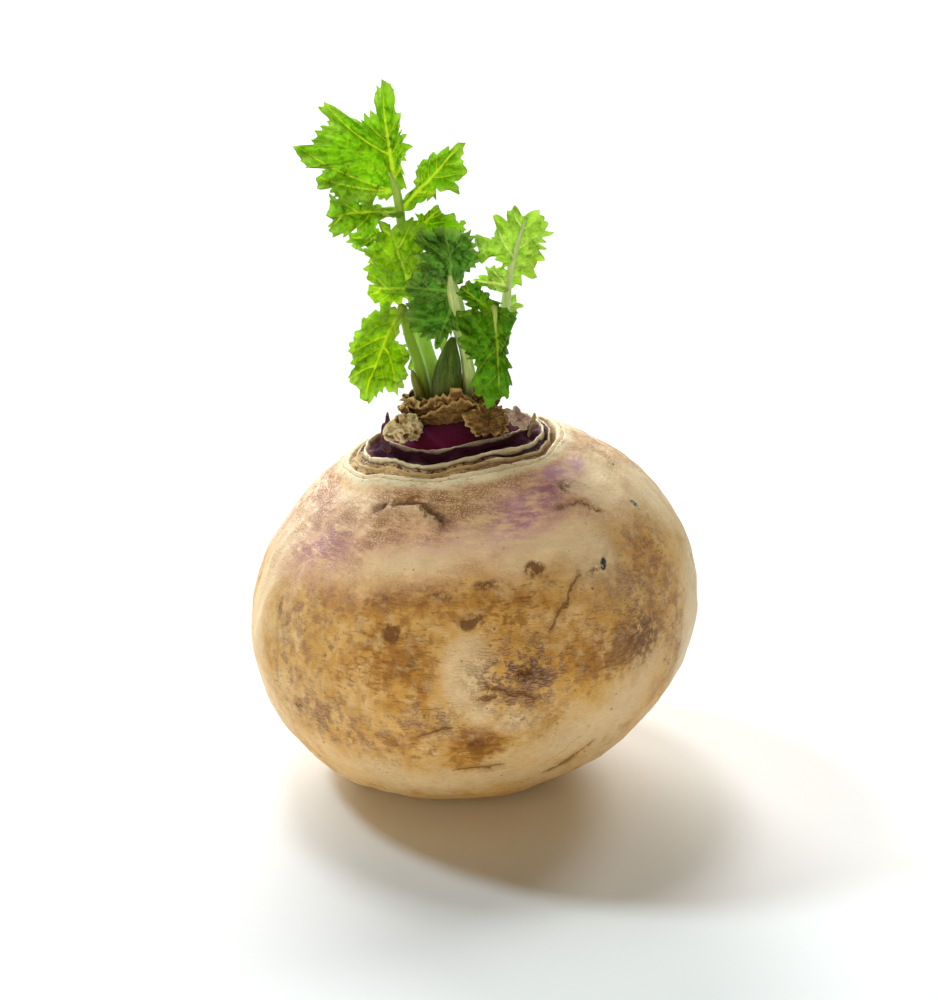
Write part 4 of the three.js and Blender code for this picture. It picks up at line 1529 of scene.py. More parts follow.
            for k, hand in ((2, 1), (3, -1), (4, 1), (5, -1)):
                ahead = unit(path[k + 1] - path[k])
                off = np.array([ahead[0] - hand * ahead[1], ahead[1] + hand * ahead[0]]) / math.sqrt(2)
                paths.append(np.array([path[k], path[k] + off * 0.2 * reach]))
                widths.append((0.17, 0.14, 1.0))
        return paths, widths

    @staticmethod
    def sheet_height(
        blade: Blade, flat: np.ndarray, share: np.ndarray, angle: np.ndarray, length: float
    ) -> np.ndarray:
        """Gives how far the plain sheet stands off its plane.

        Args:
            blade: The blade.
            flat: Place on the plane: across and forward.
            share: Share of the reach.
            angle: Angle round the heart in degrees.
            length: Length from base to tip.

        Returns:
            Heights in millimetres.
        """
        across, forward = flat.T
        bend = 0.5 * np.where(across > 0, blade.curl[1], blade.curl[0]) * across**2
        bow = blade.arch * (1 - (2 * (forward / length) - 1) ** 2)
        return bow + bend + blade.wave[0] * share**2 * np.sin(np.radians(blade.wave[1] * angle))

    def add_stalk(self, surface: Surface, points: np.ndarray, taper: float) -> None:
        """Adds a ribbed stalk through points given as rows of x, y, z and radius.

        Args:
            surface: The leaf's mesh.
            points: The rows.
            taper: Share of its radius that it loses towards its end.
        """
        rows = catmull_rom(points, self.stalk_steps)
        rows = rows[rows[:, 2] > self.stalk_foot]
        centre, radius = rows[:, :3] + self.foot, rows[:, 3]
        radius = radius * (1 - taper * np.linspace(0, 1, len(rows)) ** 4)
        ahead = unit(np.gradient(centre, axis=0))
        right = unit(np.cross(ahead, [0.05, 1.0, 0.02]))
        back = np.cross(right, ahead)
        turn = np.linspace(0, 2 * math.pi, self.stalk_sides, endpoint=False)
        ribs = 1 + 0.05 * np.cos(6 * turn) - 0.1 * np.exp(-(((turn - 1.5 * math.pi) / 0.5) ** 2))
        wide = radius[:, None] * ribs
        ring = (
            centre[:, None]
            + (wide * np.cos(turn))[..., None] * right[:, None]
            + (wide * np.sin(turn))[..., None] * back[:, None]
        )
        count = len(rows)
        points_all = np.concatenate([ring.reshape(-1, 3), centre[:1], centre[-1:]])
        height = np.concatenate([np.repeat(rows[:, 2], self.stalk_sides), rows[[0, -1], 2]])
        round_it = np.concatenate([np.tile(turn, count), [0, 0]])
        surface.add(
            points_all,
            capped_faces(count, self.stalk_sides),
            relief=np.append(np.tile(0.7 + 3 * (ribs - 1), count), [0.5, 0.5]),
            stem=np.ones(len(points_all)),
            **dict.fromkeys(("vein", "edge", "under"), np.zeros(len(points_all))),
            sheet=np.stack([round_it * 2, height, np.full(len(points_all), 400.0)], -1),
        )

    def material(self, finish: LeafFinish) -> Material:
        """Makes a leaf's material: veined, mottled, lit from behind through the blade, with painted shade in
        the creases, painted light on the bulges and a painted highlight along the margin.

        Args:
            finish: The leaf's colours.

        Returns:
            The material, made once for each finish.
        """
        name = f"{finish.name}_look"
        if name in bpy.data.materials:
            return bpy.data.materials[name]
        graph, shader, output = new_material(name)
        place, sheet = graph.millimetres(), graph.read("sheet", "Vector")
        vein, edge, relief = graph.read("vein"), graph.read("edge"), graph.read("relief")
        stem, under = graph.read("stem"), graph.read("under")
        net = graph.mask(self.effects.netting, Place=sheet, Size=1.7, Width=0.08)
        fine = graph.mask(self.effects.netting, Place=sheet, Size=0.7, Width=0.1)
        patch = graph.mask(self.effects.mottle, Place=place, Size=5.0, Bias=0.0, Edge=0.25)
        fibres = graph.stretched(sheet, (1.6, 0.3, 1.0))
        streaks = graph.mask(self.effects.fibres, Place=fibres, Size=1.0, Sharp=0.3)
        spots = graph.noise(place, 1.1, 4, 0.6)
        along = graph.axis(sheet, "Y")

        # Painted light on the bulges and painted shade in the creases, read from the relief, mixed with random
        # patches.
        bulge_light = graph.times(graph.span(relief, 0.1, 0.85), 0.6)
        share = graph.most(graph.scaled(patch, 0.4, bulge_light), graph.span(along, 8, 18, 0, finish.tip_light))
        # Painted highlight along the margin, broken up by the patches.
        margin_highlight = graph.times(graph.span(edge, 0.62, 0.98), graph.span(patch, 0.2, 0.8, 0.3, 0.9))
        lines = graph.most(graph.span(vein, 0.15, 0.8), graph.times(net, 0.42), graph.times(fine, 0.15))
        foot = graph.span(along, *self.foot_stain, 0, 0.85)
        stalk = graph.blend(graph.times(streaks, 0.6), finish.stalk, finish.bright)
        colour = graph.coats(
            graph.blend(share, finish.dark_and_crease_shade, finish.bright),
            (graph.span(spots, 0.48, 0.7, 0, 0.4), finish.dark_and_crease_shade),
            (lines, finish.vein),
            (margin_highlight, finish.margin_highlight),
            (graph.times(under, 0.6), finish.under),
            (stem, graph.blend(foot, stalk, finish.foot)),
        )
        # The light shining through carries the same painted shade, painted light and margin highlight.
        glow = graph.coats(
            graph.blend(0.6, finish.glow, graph.blend(share, finish.dark_and_crease_shade, finish.glow)),
            (graph.span(spots, 0.45, 0.7, 0, 0.35), finish.dark_and_crease_shade),
            (graph.times(lines, 0.85), finish.vein),
            (graph.times(margin_highlight, 0.8), finish.margin_highlight),
            (stem, graph.blend(foot, finish.stalk, finish.foot)),
        )
        height = graph.scaled(lines, -0.7, graph.times(spots, 0.8))
        graph.fill(
            shader, Base_Color=colour, Roughness=graph.scaled(spots, 0.2, finish.roughness - 0.1),
            Specular_IOR_Level=0.22, Normal=graph.bump(height, 0.2),
        )
        shine = graph.fill(graph.node("ShaderNodeBsdfTranslucent"), Color=glow)
        through = graph.scaled(stem, -self.stalk_shade * finish.through, finish.through)
        mixed = graph.fill(graph.node("ShaderNodeMixShader"), through, shader.outputs[0], shine.outputs[0])
        graph.feed(output.inputs["Surface"], mixed.outputs[0])
        return bpy.data.materials[name]


TALL = LeafFinish(
    "leaf_green_bright", dark_and_crease_shade=(0.05, 0.19, 0.003), bright=(0.27, 0.6, 0.01), glow=(0.58, 0.98, 0.008),
    vein=(0.8, 0.95, 0.08), stalk=(0.62, 0.88, 0.2),
)
YOUNG = LeafFinish(
    "leaf_green_young", dark_and_crease_shade=(0.1, 0.36, 0.006), bright=(0.5, 0.95, 0.05), glow=(0.8, 1.0, 0.03),
    vein=(0.86, 1.0, 0.14), stalk=(0.5, 0.7, 0.12), through=0.64,
)
LIME = LeafFinish(
    "leaf_green_lime", dark_and_crease_shade=(0.11, 0.3, 0.002), bright=(0.32, 0.62, 0.004), glow=(0.62, 0.94, 0.004),
    vein=(0.78, 0.95, 0.03), stalk=(0.40, 0.58, 0.06), through=0.55,
)
PALE = LeafFinish(
    "leaf_green_pale", dark_and_crease_shade=(0.08, 0.26, 0.025), bright=(0.5, 0.76, 0.16), glow=(0.74, 0.96, 0.14),
    vein=(0.86, 0.96, 0.45), stalk=(0.82, 0.96, 0.5), through=0.58,
)
DEEP = LeafFinish(
    "leaf_green_dark", dark_and_crease_shade=(0.014, 0.085, 0.014), bright=(0.21, 0.56, 0.05), glow=(0.3, 0.74, 0.02),
    vein=(0.3, 0.56, 0.08), stalk=(0.84, 0.92, 0.42), through=0.38, roughness=0.4, margin_highlight=(0.42, 0.68, 0.12),
)
FRONT = LeafFinish(
    "leaf_green_front", dark_and_crease_shade=(0.01, 0.06, 0.003), bright=(0.12, 0.4, 0.005), glow=(0.3, 0.78, 0.005),
    vein=(0.42, 0.66, 0.02), stalk=(0.8, 0.95, 0.2), through=0.4, roughness=0.36, margin_highlight=(0.22, 0.5, 0.02),
    tip_light=1.0,
)
BUD = LeafFinish(
    "bud_green", dark_and_crease_shade=(0.01, 0.03, 0.001), bright=(0.16, 0.28, 0.006), glow=(0.1, 0.2, 0.003),
    vein=(0.1, 0.17, 0.02), stalk=(0.018, 0.045, 0.001), through=0.12, roughness=0.4,
)
BUD_TIP = LeafFinish(
    "bud_yellow_green", dark_and_crease_shade=(0.2, 0.2, 0.02), bright=(0.42, 0.42, 0.06), glow=(0.5, 0.55, 0.05),
    vein=(0.5, 0.5, 0.1), stalk=(0.36, 0.38, 0.05), through=0.3,
)
LEAVES = (
    Leaf(
        "leaf_tall", TALL,
        ((-2.6, 4.2, -3, 1.8), (-3.4, 4, 6, 1.5), (-6, 3.4, 16, 1.3), (-8.2, 3.2, 26, 1.2),
         (-9.7, 3, 36, 1), (-11, 3, 45.7, 1.1), (-12.6, 2.6, 50, 0.6)),
        (
            Blade((-11, 3, 45.7), (-13.9, 5, 67.5), (0.3, -1, 0.15),
                  ((-158, 9.5), (-140, 11.5), (-117, 14.5), (-99, 16), (-94, 14.5), (-88, 18.5),
                   (-78, 19.5), (-72, 16), (-57, 15), (-46, 17), (-39, 9.5), (-28, 8), (-13, 9.5),
                   (0, 14.5), (19, 8), (36, 5), (53, 4), (94, 4.5), (131, 3), (173, 7.5)),
                  0.35, -1.2, (0.02, -0.12), (0.6, 5), teeth=1.5, midrib=0.7),
            Blade((-8.8, 3, 43.8), (1.9, 5, 55.4), (0.45, -1, 0.25),
                  ((-179, 9.4), (-160, 4), (-113, 3.5), (-87, 4), (-34, 4.5), (-12, 6), (0, 9), (11, 7),
                   (36, 6.5), (60, 5), (76, 6), (100, 3.5), (146, 4.5)),
                  0.45, 0.8, (0.06, 0.06), (0.4, 4)),
            Blade((-10.2, 2.2, 42.3), (-24.5, -3, 42), (0.1, -0.85, 0.55),
                  ((-172, 8), (-150, 3.4), (-110, 4), (-88, 5), (-55, 4.6), (-27, 7.5), (-15, 8), (-6, 6.4),
                   (9, 7.5), (32, 7.5), (64, 3), (130, 3)),
                  0.5, 0.8, (-0.08, -0.1), (0.9, 4), frill=1.3),
            Blade((-9.4, 2.4, 36), (-20.5, 3.6, 36.4), (0, -0.75, 0.65),
                  ((-176, 7), (-130, 4.4), (-97, 3.6), (-51, 3), (-7, 6), (40, 2.4), (119, 2), (150, 4)),
                  0.5, 1, (-0.08, -0.08), (0.4, 3)),
            Blade((-8.8, 2.8, 36.4), (-1.8, 0.5, 44), (0.3, -1, 0.3),
                  ((-176, 6.4), (-110, 2), (-30, 2.4), (-4, 5), (16, 3.8), (38, 6), (59, 8), (88, 6),
                   (140, 4.4)),
                  0.5, 0, (0, -0.06), (0.4, 5)),
        ),
    ),
    Leaf(
        "leaf_centre", YOUNG,
        ((0.6, 1.8, -3, 1.2), (0.1, 1.4, 9, 1), (-3, 0.3, 18, 0.9), (-6.2, -2, 25, 0.9),
         (-9, -3.8, 30, 0.7)),
        (
            Blade((-7.5, -3, 26.5), (-12, -4, 41), (-0.35, -1, 0.35),
                  ((-165, 7.5), (-138, 7.5), (-108, 7.5), (-87, 8.5), (-77, 6.4), (-68, 10.5), (-57, 7.4),
                   (-28, 6.5), (-18, 8.5), (6, 7.5), (28, 8.5), (51, 7.5), (89, 5.5), (156, 6.5)),
                  0.5, 1.4, (-0.09, -0.1), (0.8, 6), pucker=1.2, blister=0.7, frill=1.8, teeth=1.3),
            Blade((-8, -3.4, 28), (-16.5, -5, 28.4), (-0.2, -1, -0.1),
                  ((-134, 4.5), (-80, 4), (-22, 4.5), (10, 3.5), (36, 6), (69, 5), (109, 4), (167, 4.5)),
                  0.5, 0, (-0.1, -0.06), (0.4, 4)),
        ),
    ),
    Leaf(
        "leaf_dark", DEEP,
        ((2.9, -1.6, -3, 1.4), (3.4, -2, 6.6, 1.4), (2.4, -2.8, 15, 1.1), (1, -3.6, 20, 1.2),
         (1.2, -4.7, 22.5, 1.5), (0.2, -5.7, 27.6, 1.7), (-0.5, -6.2, 31.5, 1.1)),
        (
            Blade((-0.6, -6, 30.2), (-1.5, -6.8, 40.5), (0.3, -1, 0.5),
                  ((-170, 6), (-131, 6.5), (-89, 6), (-45, 7.5), (-10, 5.5), (41, 6), (79, 6), (100, 6.5),
                   (129, 6.5), (155, 6)),
                  0.5, 1.4, (-0.08, -0.08), (0.5, 5), pucker=1.2, blister=0.8, frill=1.7, teeth=1.3),
            Blade((0.4, -5.2, 26.5), (-3.2, -6.6, 17.5), (-0.2, -1, -0.1),
                  ((-165, 4), (-110, 2.6), (-48, 2.6), (-7, 4.5), (36, 5.5), (72, 7.5), (90, 8), (111, 7),
                   (147, 6), (176, 6)),
                  0.5, 1, (-0.06, 0), pucker=1.1, frill=1.6, teeth=1.3),
            Blade((-0.2, -5.4, 28), (-9, -6.6, 29), (0, -1, 0.1),
                  ((-175, 4.5), (-100, 2), (-27, 4), (4, 4.6), (40, 5), (75, 5), (114, 5), (162, 4.5)),
                  0.5, 0, (0.1, 0.1)),
        ),
    ),
    Leaf(
        "leaf_left", LIME,
        ((-5.2, 0.6, -3, 1.3), (-6.1, 0, 8, 1.1), (-8.6, -2.6, 18, 1), (-9.8, -4.8, 24.4, 0.9),
         (-10.4, -6, 23, 0.8), (-11.4, -6.8, 20, 0.5)),
        (
            Blade((-9.8, -5.6, 25), (-17.6, -8, 6), (-0.45, -1, 0.3),
                  ((-175, 8), (-139, 4), (-90, 6), (-47, 9), (-28, 8), (-11, 9.5), (-1, 11.5), (12, 9),
                   (28, 10), (41, 7), (60, 7.5), (102, 7), (136, 8), (153, 9.6)),
                  0.45, 1.5, (-0.05, -0.05), (0.5, 4), frill=0.7),
        ),
    ),
    Leaf(
        "leaf_back", LIME,
        ((-5.2, 5.2, -3, 0.9), (-6.2, 6.6, 4, 0.8), (-6.8, 7.6, 11, 0.6)),
        (
            Blade((-6.5, 7.2, 6), (-8.5, 7.4, 20.5), (-0.3, -1, 0.1),
                  ((-168, 5.5), (-148, 3), (-60, 1.6), (-21, 5.4), (-10, 7.5), (4, 6.5), (17, 3), (33, 4),
                   (80, 3.4), (128, 4.5), (158, 5.5)),
                  0.5, 0, (0.08, 0.08)),
        ),
    ),
    Leaf(
        "leaf_front", FRONT,
        ((5.6, -0.2, -3, 1), (6.1, -1.6, 8, 1), (6.7, -4, 18, 0.9), (7.6, -6.4, 24, 0.8),
         (8.1, -9, 25.4, 0.7), (8.3, -10, 21, 0.5)),
        (
            Blade((8.1, -9.2, 25.2), (9, -11.2, 5.9), (0.25, -1, 0.1),
                  ((-166, 8.5), (-149, 8), (-134, 3.8), (-95, 2.6), (-55, 2.4), (-32, 4.6), (-17, 7.6),
                   (-7, 10), (2, 9.4), (9, 11.5), (22, 10), (36, 8.5), (56, 4.6), (100, 7), (116, 8),
                   (136, 10), (150, 10), (165, 8)),
                  0.4, 0.8, (-0.06, -0.08), (0.3, 4), frill=0.6, midrib=0.42),
            Blade((7.6, -6.8, 24.4), (2.4, -8.8, 29), (-0.1, -1, 0.5),
                  ((-134, 2.4), (-44, 3), (-4, 5), (15, 5.4), (37, 4), (69, 2.5), (129, 2.6), (166, 4.5)),
                  0.5, 0, (0.1, 0.1), (0.4, 3)),
        ),
    ),
    Leaf(
        "leaf_right", PALE,
        ((4.2, 4.6, -3, 1.5), (5.2, 3.6, 6, 1.3), (7.3, 2.6, 15, 1.1), (10.2, 2, 22.6, 1),
         (10.8, 2, 27.5, 0.9), (12.4, 1.8, 35, 0.8), (14.2, 1.4, 41, 0.5)),
        (
            Blade((10.8, 2.4, 27), (14.5, 1.6, 43), (0.35, -1, 0.05),
                  ((-165, 4.5), (-122, 5), (-113, 8.5), (-83, 10), (-68, 7.6), (-55, 8), (-33, 8),
                   (-20, 8.5), (-6, 7), (7, 8.5), (26, 8), (41, 7), (73, 5), (122, 4.5), (151, 7),
                   (172, 8.8)),
                  0.5, 0, (0.05, 0.14), (0.5, 4), pucker=0.9, frill=1.6, teeth=1.2),
            Blade((10.8, 2, 27), (4.3, 0, 28.8), (-0.1, -1, 0.4),
                  ((-157, 3), (-110, 1.2), (-40, 1.6), (-21, 3), (4, 3.5), (30, 2), (68, 3.5), (110, 3.4),
                   (176, 4.2)),
                  0.5, 0.6),
            Blade((10.2, 2.4, 22.5), (13.3, 4.8, 23.5), (0.3, -1, 0.2),
                  ((-157, 2), (-104, 1.6), (-61, 2), (0, 1.6), (62, 2), (98, 2), (170, 2.2))),
        ),
    ),
    Leaf(
        "leaf_bud", BUD,
        ((-1.3, -2.4, -3, 2.4), (-1.4, -2.6, 3, 2.8), (-1.2, -3.4, 9, 2.8), (-0.8, -4.2, 13, 2.3),
         (-0.4, -4.6, 16.5, 1.3), (0, -4.7, 18.5, 0.5)),
    ),
    Leaf(
        "bud_tip", BUD_TIP,
        ((-6.1, -1.9, -3, 0.9), (-6.7, -1.7, 5, 0.9), (-7.7, -1.8, 9, 0.7), (-8.2, -1.8, 11, 0.25)),
    ),
)


def slot_of(node: str) -> str:
    """Gives the record's material slot of a CAD node."""
    return next(part["material_slot"] for part in frame["record"]["subparts"] if part["node"] == node)


# ---- Collar, stub and scales ----


@dataclass(frozen=True)
class DryFinish:
    """Colours of a dry papery or corky piece: the dark tone of its blotches and of its painted shade, its body
    and its torn edges.
    """

    name: str
    hollow: Colour
    body: Colour
    edge: Colour
    roughness: float = 0.8


SHEATH = DryFinish("dry_sheath_brown", (0.015, 0.005, 0.002), (0.2, 0.09, 0.02), (0.72, 0.50, 0.2))
CORK = DryFinish("cork_cream", (0.07, 0.03, 0.008), (0.72, 0.54, 0.26), (0.90, 0.76, 0.46))
PALE_SCALE = DryFinish("scale_pale_mauve", (0.16, 0.06, 0.08), (0.66, 0.48, 0.40), (0.86, 0.74, 0.6))
PURPLE_SCALE = DryFinish("scale_purple", (0.012, 0.004, 0.02), (0.04, 0.02, 0.06), (0.34, 0.12, 0.05), 0.9)
STRAW_SCALE = DryFinish("scale_straw", (0.20, 0.13, 0.05), (0.50, 0.38, 0.20), (0.66, 0.54, 0.32))


@dataclass
class Crownwork:
    """Builds the dry pieces round the tuft: the collar, the old stub and the scales.

    Foot and lip are the radius and height of the collar's two ends. A collar layer is how far inside the
    outermost sheet it stands, its share of the height and its seed. The folds are read round a circle of
    fold_radius, layer_gap further along for each layer.
    """

    form: RootForm
    effects: Effects
    foot: Pair = (8.5, 0.4)
    lip: Pair = (10.0, 5.2)
    collar_radii: Span = (7.6, 10.7)
    collar_heights: Span = (1.6, 8.2)
    collar_sunk: float = 0.6
    fold_radius: float = 9
    layer_gap: float = 20
    collar_sides: int = 300
    collar_rows: int = 16
    collar_layers: tuple[tuple[float, float, int], ...] = ((0.0, 0.78, 11), (0.45, 1.0, 12), (0.85, 0.92, 13))
    stub_at: Point = (-9.2, -10.2, 0.9)
    stub_half: Point = (3.5, 2.6, 3.1)
    stub_rings: int = 70
    stub_sides: int = 110
    scale_half_thickness: float = 0.2

    def build_collar(self) -> Piece:
        """Builds the ragged ring of dry leaf bases as three torn sheets, one inside the other.

        Returns:
            The object that stands for the CAD collar.
        """
        surface = Surface()
        for layer, (inset, tall, seed) in enumerate(self.collar_layers):
            self.add_ring(surface, inset, tall, seed, layer)
        piece = surface.to_object("dry_collar_sheath", self.material(SHEATH))
        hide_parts("dry_collar")
        return piece

    def add_ring(self, surface: Surface, inset: float, tall: float, seed: int, layer: int) -> None:
        """Adds one torn sheet of the collar.

        Args:
            surface: The collar's mesh.
            inset: How far inside the outermost sheet it stands.
            tall: Its height as a share of the collar's.
            seed: Seed of its folds and tears.
            layer: Its number.
        """
        sides, rows = self.collar_sides, self.collar_rows
        turn = np.linspace(-math.pi, math.pi, sides, endpoint=False)
        cos, sin = np.cos(turn), np.sin(turn)
        folding = np.full(sides, layer * self.layer_gap)
        circle = np.stack([cos * self.fold_radius, sin * self.fold_radius, folding], -1)
        lobes = 1 + 0.16 * np.sin(turn + 2.4) - 0.12 * np.cos(2 * turn) + 0.1 * np.sin(7 * turn)
        torn = 0.95 * Ripple(seed, 5.5)(circle) + 0.35 * Ripple(seed + 1, 1.6)(circle)
        top = np.clip(self.lip[1] * lobes * tall + torn, *self.collar_heights)
        share = np.linspace(0, 1, rows)[:, None]
        sole = self.foot[1] - self.collar_sunk
        height = sole + (top - sole) * share
        lean = self.foot[0] + (self.lip[0] - self.foot[0]) * share**0.8 - inset
        spots = np.stack(np.broadcast_arrays(circle[:, 0], circle[:, 1], height * 2.4), -1)
        folds = 0.5 * Ripple(seed + 2, 4.2)(spots) * share + 0.14 * Ripple(seed + 3, 1.5)(spots)
        curl = 1.6 * np.clip(share - 0.7, 0, 1) * Ripple(seed + 4, 6)(spots)
        outer = np.clip(lean + folds + curl, *self.collar_radii)
        thick = 0.14 * (1.2 - share)
        sheets = []
        for radius in (outer, outer - thick - 0.05):
            local = np.stack([radius * cos, radius * sin, height * np.ones_like(radius)], -1)
            sheets.append((local.reshape(-1, 3) @ self.form.turn.T) + self.form.crown_centre)
        count = sides * rows
        low, high = np.arange(sides), np.arange(count - sides, count)
        shares = np.broadcast_to(share, height.shape).ravel()
        surface.add(
            np.concatenate(sheets),
            [
                grid_faces(rows, sides),
                grid_faces(rows, sides, first=count, flip=True),
                band_faces(high, high + count),
                band_faces(low, low + count)[:, ::-1],
            ],
            edge=np.tile(shares, 2),
            # Painted shade: darker toward the foot of the outer sheet and over the inner sheet.
            hollow=np.concatenate([0.75 * (1 - shares) ** 1.5, 0.85 - 0.5 * shares**3]),
        )

    def build_stub(self) -> Piece:
        """Builds the corky stub of an old leaf stalk, pitted and uneven.

        Returns:
            The object that stands for the CAD stub.
        """
        rings, sides = self.stub_rings, self.stub_sides
        polar, turn = np.meshgrid(
            np.linspace(POLE_GAP, math.pi - POLE_GAP, rings),
            np.linspace(0, 2 * math.pi, sides, endpoint=False),
            indexing="ij",
        )
        out = ball(polar, turn).reshape(-1, 3)
        spots = out * np.array(self.stub_half)
        lumps = 0.34 * Ripple(21, 3.6)(spots) + 0.12 * Ripple(22, 1.1)(spots)
        pits = 0.5 * fade(Ripple(23, 1.2)(spots), 0.9, 1.7) + 1.5 * fade(Ripple(24, 2.6)(spots), 0.6, 1.3)
        points = spots + out * (lumps - 0.6 * np.minimum(pits, 1.5))[:, None]
        points += self.form.crown_centre + np.array(self.stub_at)
        surface = Surface()
        surface.add(
            np.concatenate([points, [points[:sides].mean(0), points[-sides:].mean(0)]]),
            capped_faces(rings, sides),
            # Lighter on the lumps.
            edge=np.append(fade(lumps, 0.0, 0.4), [0, 0]),
            # Painted shade in the pits.
            hollow=np.append(np.minimum(pits, 1), [0, 0]),
        )
        piece = surface.to_object("old_stalk_stub_cork", self.material(CORK))
        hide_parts("old_stalk_stub")
        return piece

    def build_scale(self, node: str, finish: DryFinish, blade: Blade, seed: int) -> Piece:
        """Builds one dry scale.

        Args:
            node: The CAD node it stands for.
            finish: Its colours.
            blade: Its sheet.
            seed: Seed of its tears.

        Returns:
            The object.
        """
        surface = Surface()
        sheets = Tuft(self.form, self.effects, half_thickness=self.scale_half_thickness)
        sheets.add_blade(surface, blade, seed)
        # Darker toward the scale's middle.
        surface.values["hollow"] = [0.5 * fade(parts, 0.5, 0.0) for parts in surface.values["edge"]]
        piece = surface.to_object(f"{node}_dry", self.material(finish))
        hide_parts(node)
        return piece

    def material(self, finish: DryFinish) -> Material:
        """Makes a dry fibrous material, with painted shade where the mesh asks for it.

        Args:
            finish: Its colours.

        Returns:
            The material, made once for each finish.
        """
        name = f"{finish.name}_look"
        if name in bpy.data.materials:
            return bpy.data.materials[name]
        graph, shader, _ = new_material(name)
        place = graph.millimetres()
        layered = graph.stretched(place, (0.7, 0.7, 2.2))
        fibres = graph.mask(self.effects.fibres, Place=layered, Size=1.1, Sharp=0.16)
        blotch = graph.mask(self.effects.mottle, Place=place, Size=2.4, Bias=-0.02, Edge=0.14)
        grain = graph.noise(place, 0.5, 4, 0.65)
        torn = graph.scaled(grain, 0.25, graph.read("edge"))
        colour = graph.coats(
            finish.body,
            (graph.times(fibres, 0.35), finish.edge),
            (graph.times(blotch, 0.6), finish.hollow),
            (graph.span(torn, 0.95, 1.12, 0, 0.8), finish.edge),
            # Painted shade where the mesh asks for it.
            (graph.span(graph.read("hollow"), 0.1, 0.9, 0, 0.9), finish.hollow),
        )
        graph.fill(
            shader, Base_Color=colour, Roughness=finish.roughness, Specular_IOR_Level=0.15,
            Normal=graph.bump(graph.scaled(fibres, 0.6, graph.times(grain, 0.6)), 0.3),
        )
        return bpy.data.materials[name]


SCALES = (
    (
        "dry_scale_right", SHEATH,
        Blade((11.2, -5.6, 2.4), (2.2, -8.8, 3), (0.4, -0.8, 0.5),
              ((-150, 5), (-90, 3.6), (-30, 5), (0, 5.2), (40, 3.4), (90, 2.2), (150, 4.2)),
              0.5, 0.8, (0, 0), (0.3, 5), pucker=0, frill=0.5),
    ),
    (
        "dry_scale_pale", PALE_SCALE,
        Blade((15, -3.4, -0.4), (10.4, -5, 3.4), (0.4, -0.8, 0.4),
              ((-150, 2.6), (-90, 1.8), (-30, 2.4), (0, 3.6), (40, 2.2), (90, 1.6), (150, 2.6)),
              0.5, 0.5, teeth=0.7, pucker=0, frill=0.4),
    ),
    (
        "scale_tip_left", PURPLE_SCALE,
        Blade((-13.4, -6, -5), (-13.6, -5.2, 3.4), (-0.8, -0.6, 0),
              ((-165, 3.4), (-90, 1.5), (-20, 2.8), (0, 5), (25, 2.2), (90, 1.4), (165, 3.4)),
              0.4, teeth=0.2, pucker=0, blister=0.1, frill=0.2),
    ),
    (
        "scale_tip_right", STRAW_SCALE,
        Blade((15.4, -1, -4.5), (15.7, -0.8, 1.8), (1, -0.4, 0),
              ((-165, 2.6), (-90, 0.8), (-20, 1.8), (0, 3.8), (25, 1.6), (90, 0.8), (165, 2.6)),
              0.4, teeth=0.1, pucker=0, blister=0.05, frill=0.1),
    ),
)


# ---- Studio ----


@dataclass(frozen=True)
class Sun:
    """A distant soft light: where it stands in degrees, its strength, how wide it looks and its colour."""

    name: str
    azimuth: float
    elevation: float
    strength: float
    width: float
    colour: Colour


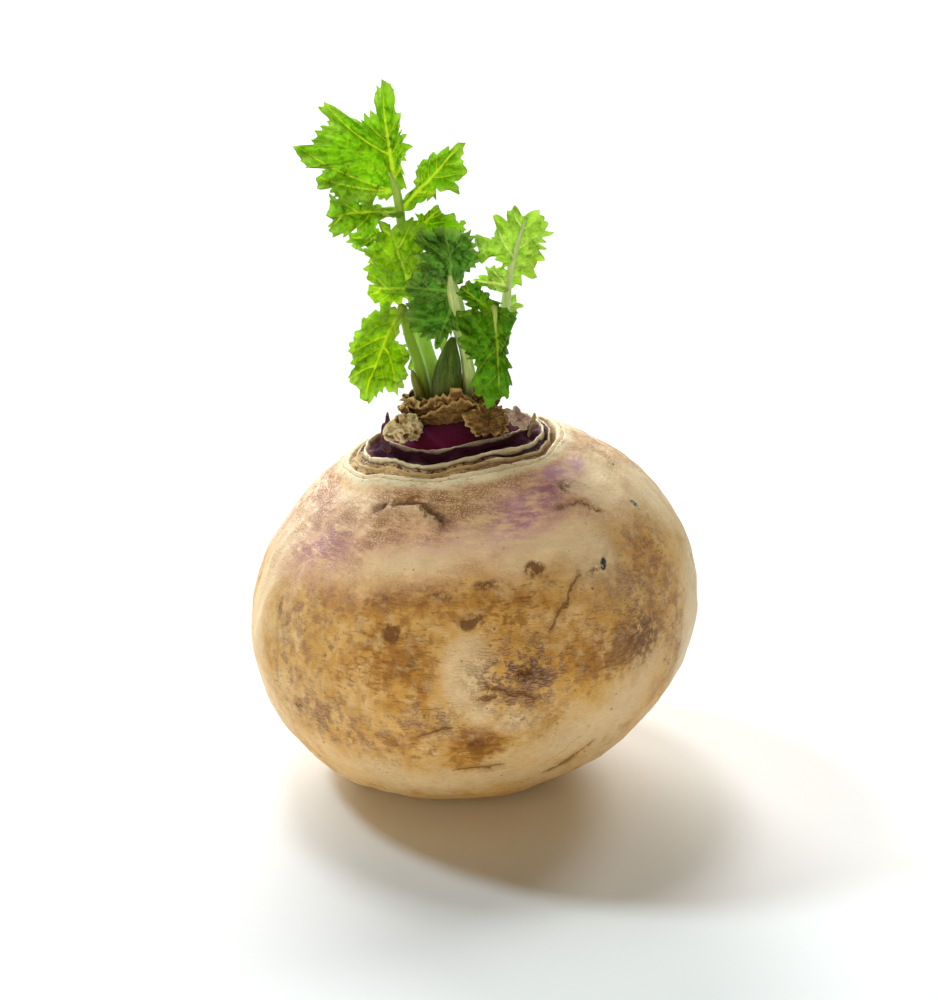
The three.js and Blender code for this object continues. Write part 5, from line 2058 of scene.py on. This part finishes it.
@dataclass
class Studio:
    """The pale floor, the lights and the camera."""

    suns: tuple[Sun, ...] = (
        Sun("side_light", 152, 47, 1.3, 9, (0.80, 0.98, 1.06)),
        Sun("high_light", 112, 60, 1.05, 14, (0.92, 0.96, 1.0)),
        Sun("right_light", 55, 38, 1.0, 18, (0.92, 1.0, 0.96)),
        Sun("low_light", 104, 19, 4.2, 34, (1.0, 1.0, 1.0)),
        Sun("front_fill", 252, 13, 1.12, 50, (1.0, 0.79, 0.49)),
    )
    target: Point = (-0.5, 0.0, 58.0)
    distance: float = 480
    elevation: float = 20
    lens: float = 85
    sensor_width: float = 36
    clip: Span = (0.01, 100)
    floor_half: float = 4000
    floor_tones: tuple[Colour, Colour] = ((0.86, 0.86, 0.86), (0.88, 0.88, 0.88))
    room_colour: Colour = (1.0, 0.84, 0.68)
    room_strength: float = 0.1

    def build(self) -> None:
        """Builds the floor, the lights and the camera."""
        self.build_floor()
        self.build_world()
        for sun in self.suns:
            self.build_sun(sun)
        self.build_camera()

    def build_floor(self) -> None:
        """Lays the white floor at the part's lowest point."""
        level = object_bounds()[0][2]
        half = self.floor_half * MM
        corners = [(x * half, y * half, level) for x, y in ((-1, -1), (1, -1), (1, 1), (-1, 1))]
        mesh = bpy.data.meshes.new("floor")
        mesh.from_pydata(corners, [], [(0, 1, 2, 3)])
        floor = bpy.data.objects.new("floor", mesh)
        bpy.context.scene.collection.objects.link(floor)
        graph, shader, _ = new_material("floor_white")
        colour = graph.blend(graph.noise(graph.millimetres(), 60, 2), *self.floor_tones)
        graph.fill(shader, Base_Color=colour, Roughness=0.9, Specular_IOR_Level=0.1)
        mesh.materials.append(bpy.data.materials["floor_white"])
        floor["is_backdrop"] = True

    def build_world(self) -> None:
        """Fills the room with soft warm light."""
        world = bpy.data.worlds.new("soft_room")
        world.use_nodes = True
        background = world.node_tree.nodes["Background"]
        background.inputs["Color"].default_value = (*self.room_colour, 1)
        background.inputs["Strength"].default_value = self.room_strength
        bpy.context.scene.world = world

    @staticmethod
    def build_sun(sun: Sun) -> None:
        """Adds a sun.

        Args:
            sun: Its place and its light.
        """
        light = bpy.data.lights.new(sun.name, "SUN")
        light.energy = sun.strength
        light.angle = math.radians(sun.width)
        light.color = sun.colour
        lamp = bpy.data.objects.new(sun.name, light)
        lamp.rotation_euler = (math.radians(90 - sun.elevation), 0, math.radians(sun.azimuth + 90))
        bpy.context.scene.collection.objects.link(lamp)

    def build_camera(self) -> None:
        """Sets up the camera in front of the turnip, a little above it."""
        data = bpy.data.cameras.new("camera")
        data.lens = self.lens
        data.sensor_width = self.sensor_width
        data.clip_start, data.clip_end = self.clip
        camera = bpy.data.objects.new("camera", data)
        rise = math.radians(self.elevation)
        camera.location = (
            self.target[0] * MM,
            (self.target[1] - self.distance * math.cos(rise)) * MM,
            (self.target[2] + self.distance * math.sin(rise)) * MM,
        )
        camera.rotation_euler = (math.pi / 2 - rise, 0, 0)
        bpy.context.scene.collection.objects.link(camera)
        bpy.context.scene.camera = camera
        bpy.context.scene.view_settings.view_transform = "Standard"


def report(piece: Piece, node: str) -> None:
    """Logs a finished piece: its faces and how far its box stands off its CAD node's box.

    Args:
        piece: The piece.
        node: The CAD node that it stands for.
    """
    corners = np.array([corner.co for corner in piece.data.vertices]) / MM
    low, high = np.array(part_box(node)) / MM
    off = np.round(np.concatenate([corners.min(0) - low, corners.max(0) - high]), 1)
    log.info("%s: %d faces, off its node by %s mm", piece.name, len(piece.data.polygons), off.tolist())


def main() -> None:
    """Builds every piece in order."""
    logging.basicConfig(level=logging.INFO, format="%(message)s")
    Studio().build()
    form, effects = RootForm(), Effects()
    report(Root(form, effects).build(), "turnip_root")
    tuft = Tuft(form, effects)
    for seed, leaf in enumerate(LEAVES, LEAF_SEED):
        report(tuft.build(leaf, seed), leaf.node)
    crownwork = Crownwork(form, effects)
    report(crownwork.build_collar(), "dry_collar")
    report(crownwork.build_stub(), "old_stalk_stub")
    for seed, (node, finish, blade) in enumerate(SCALES, SCALE_SEED):
        report(crownwork.build_scale(node, finish, blade, seed), node)


if __name__ == "__main__":
    main()
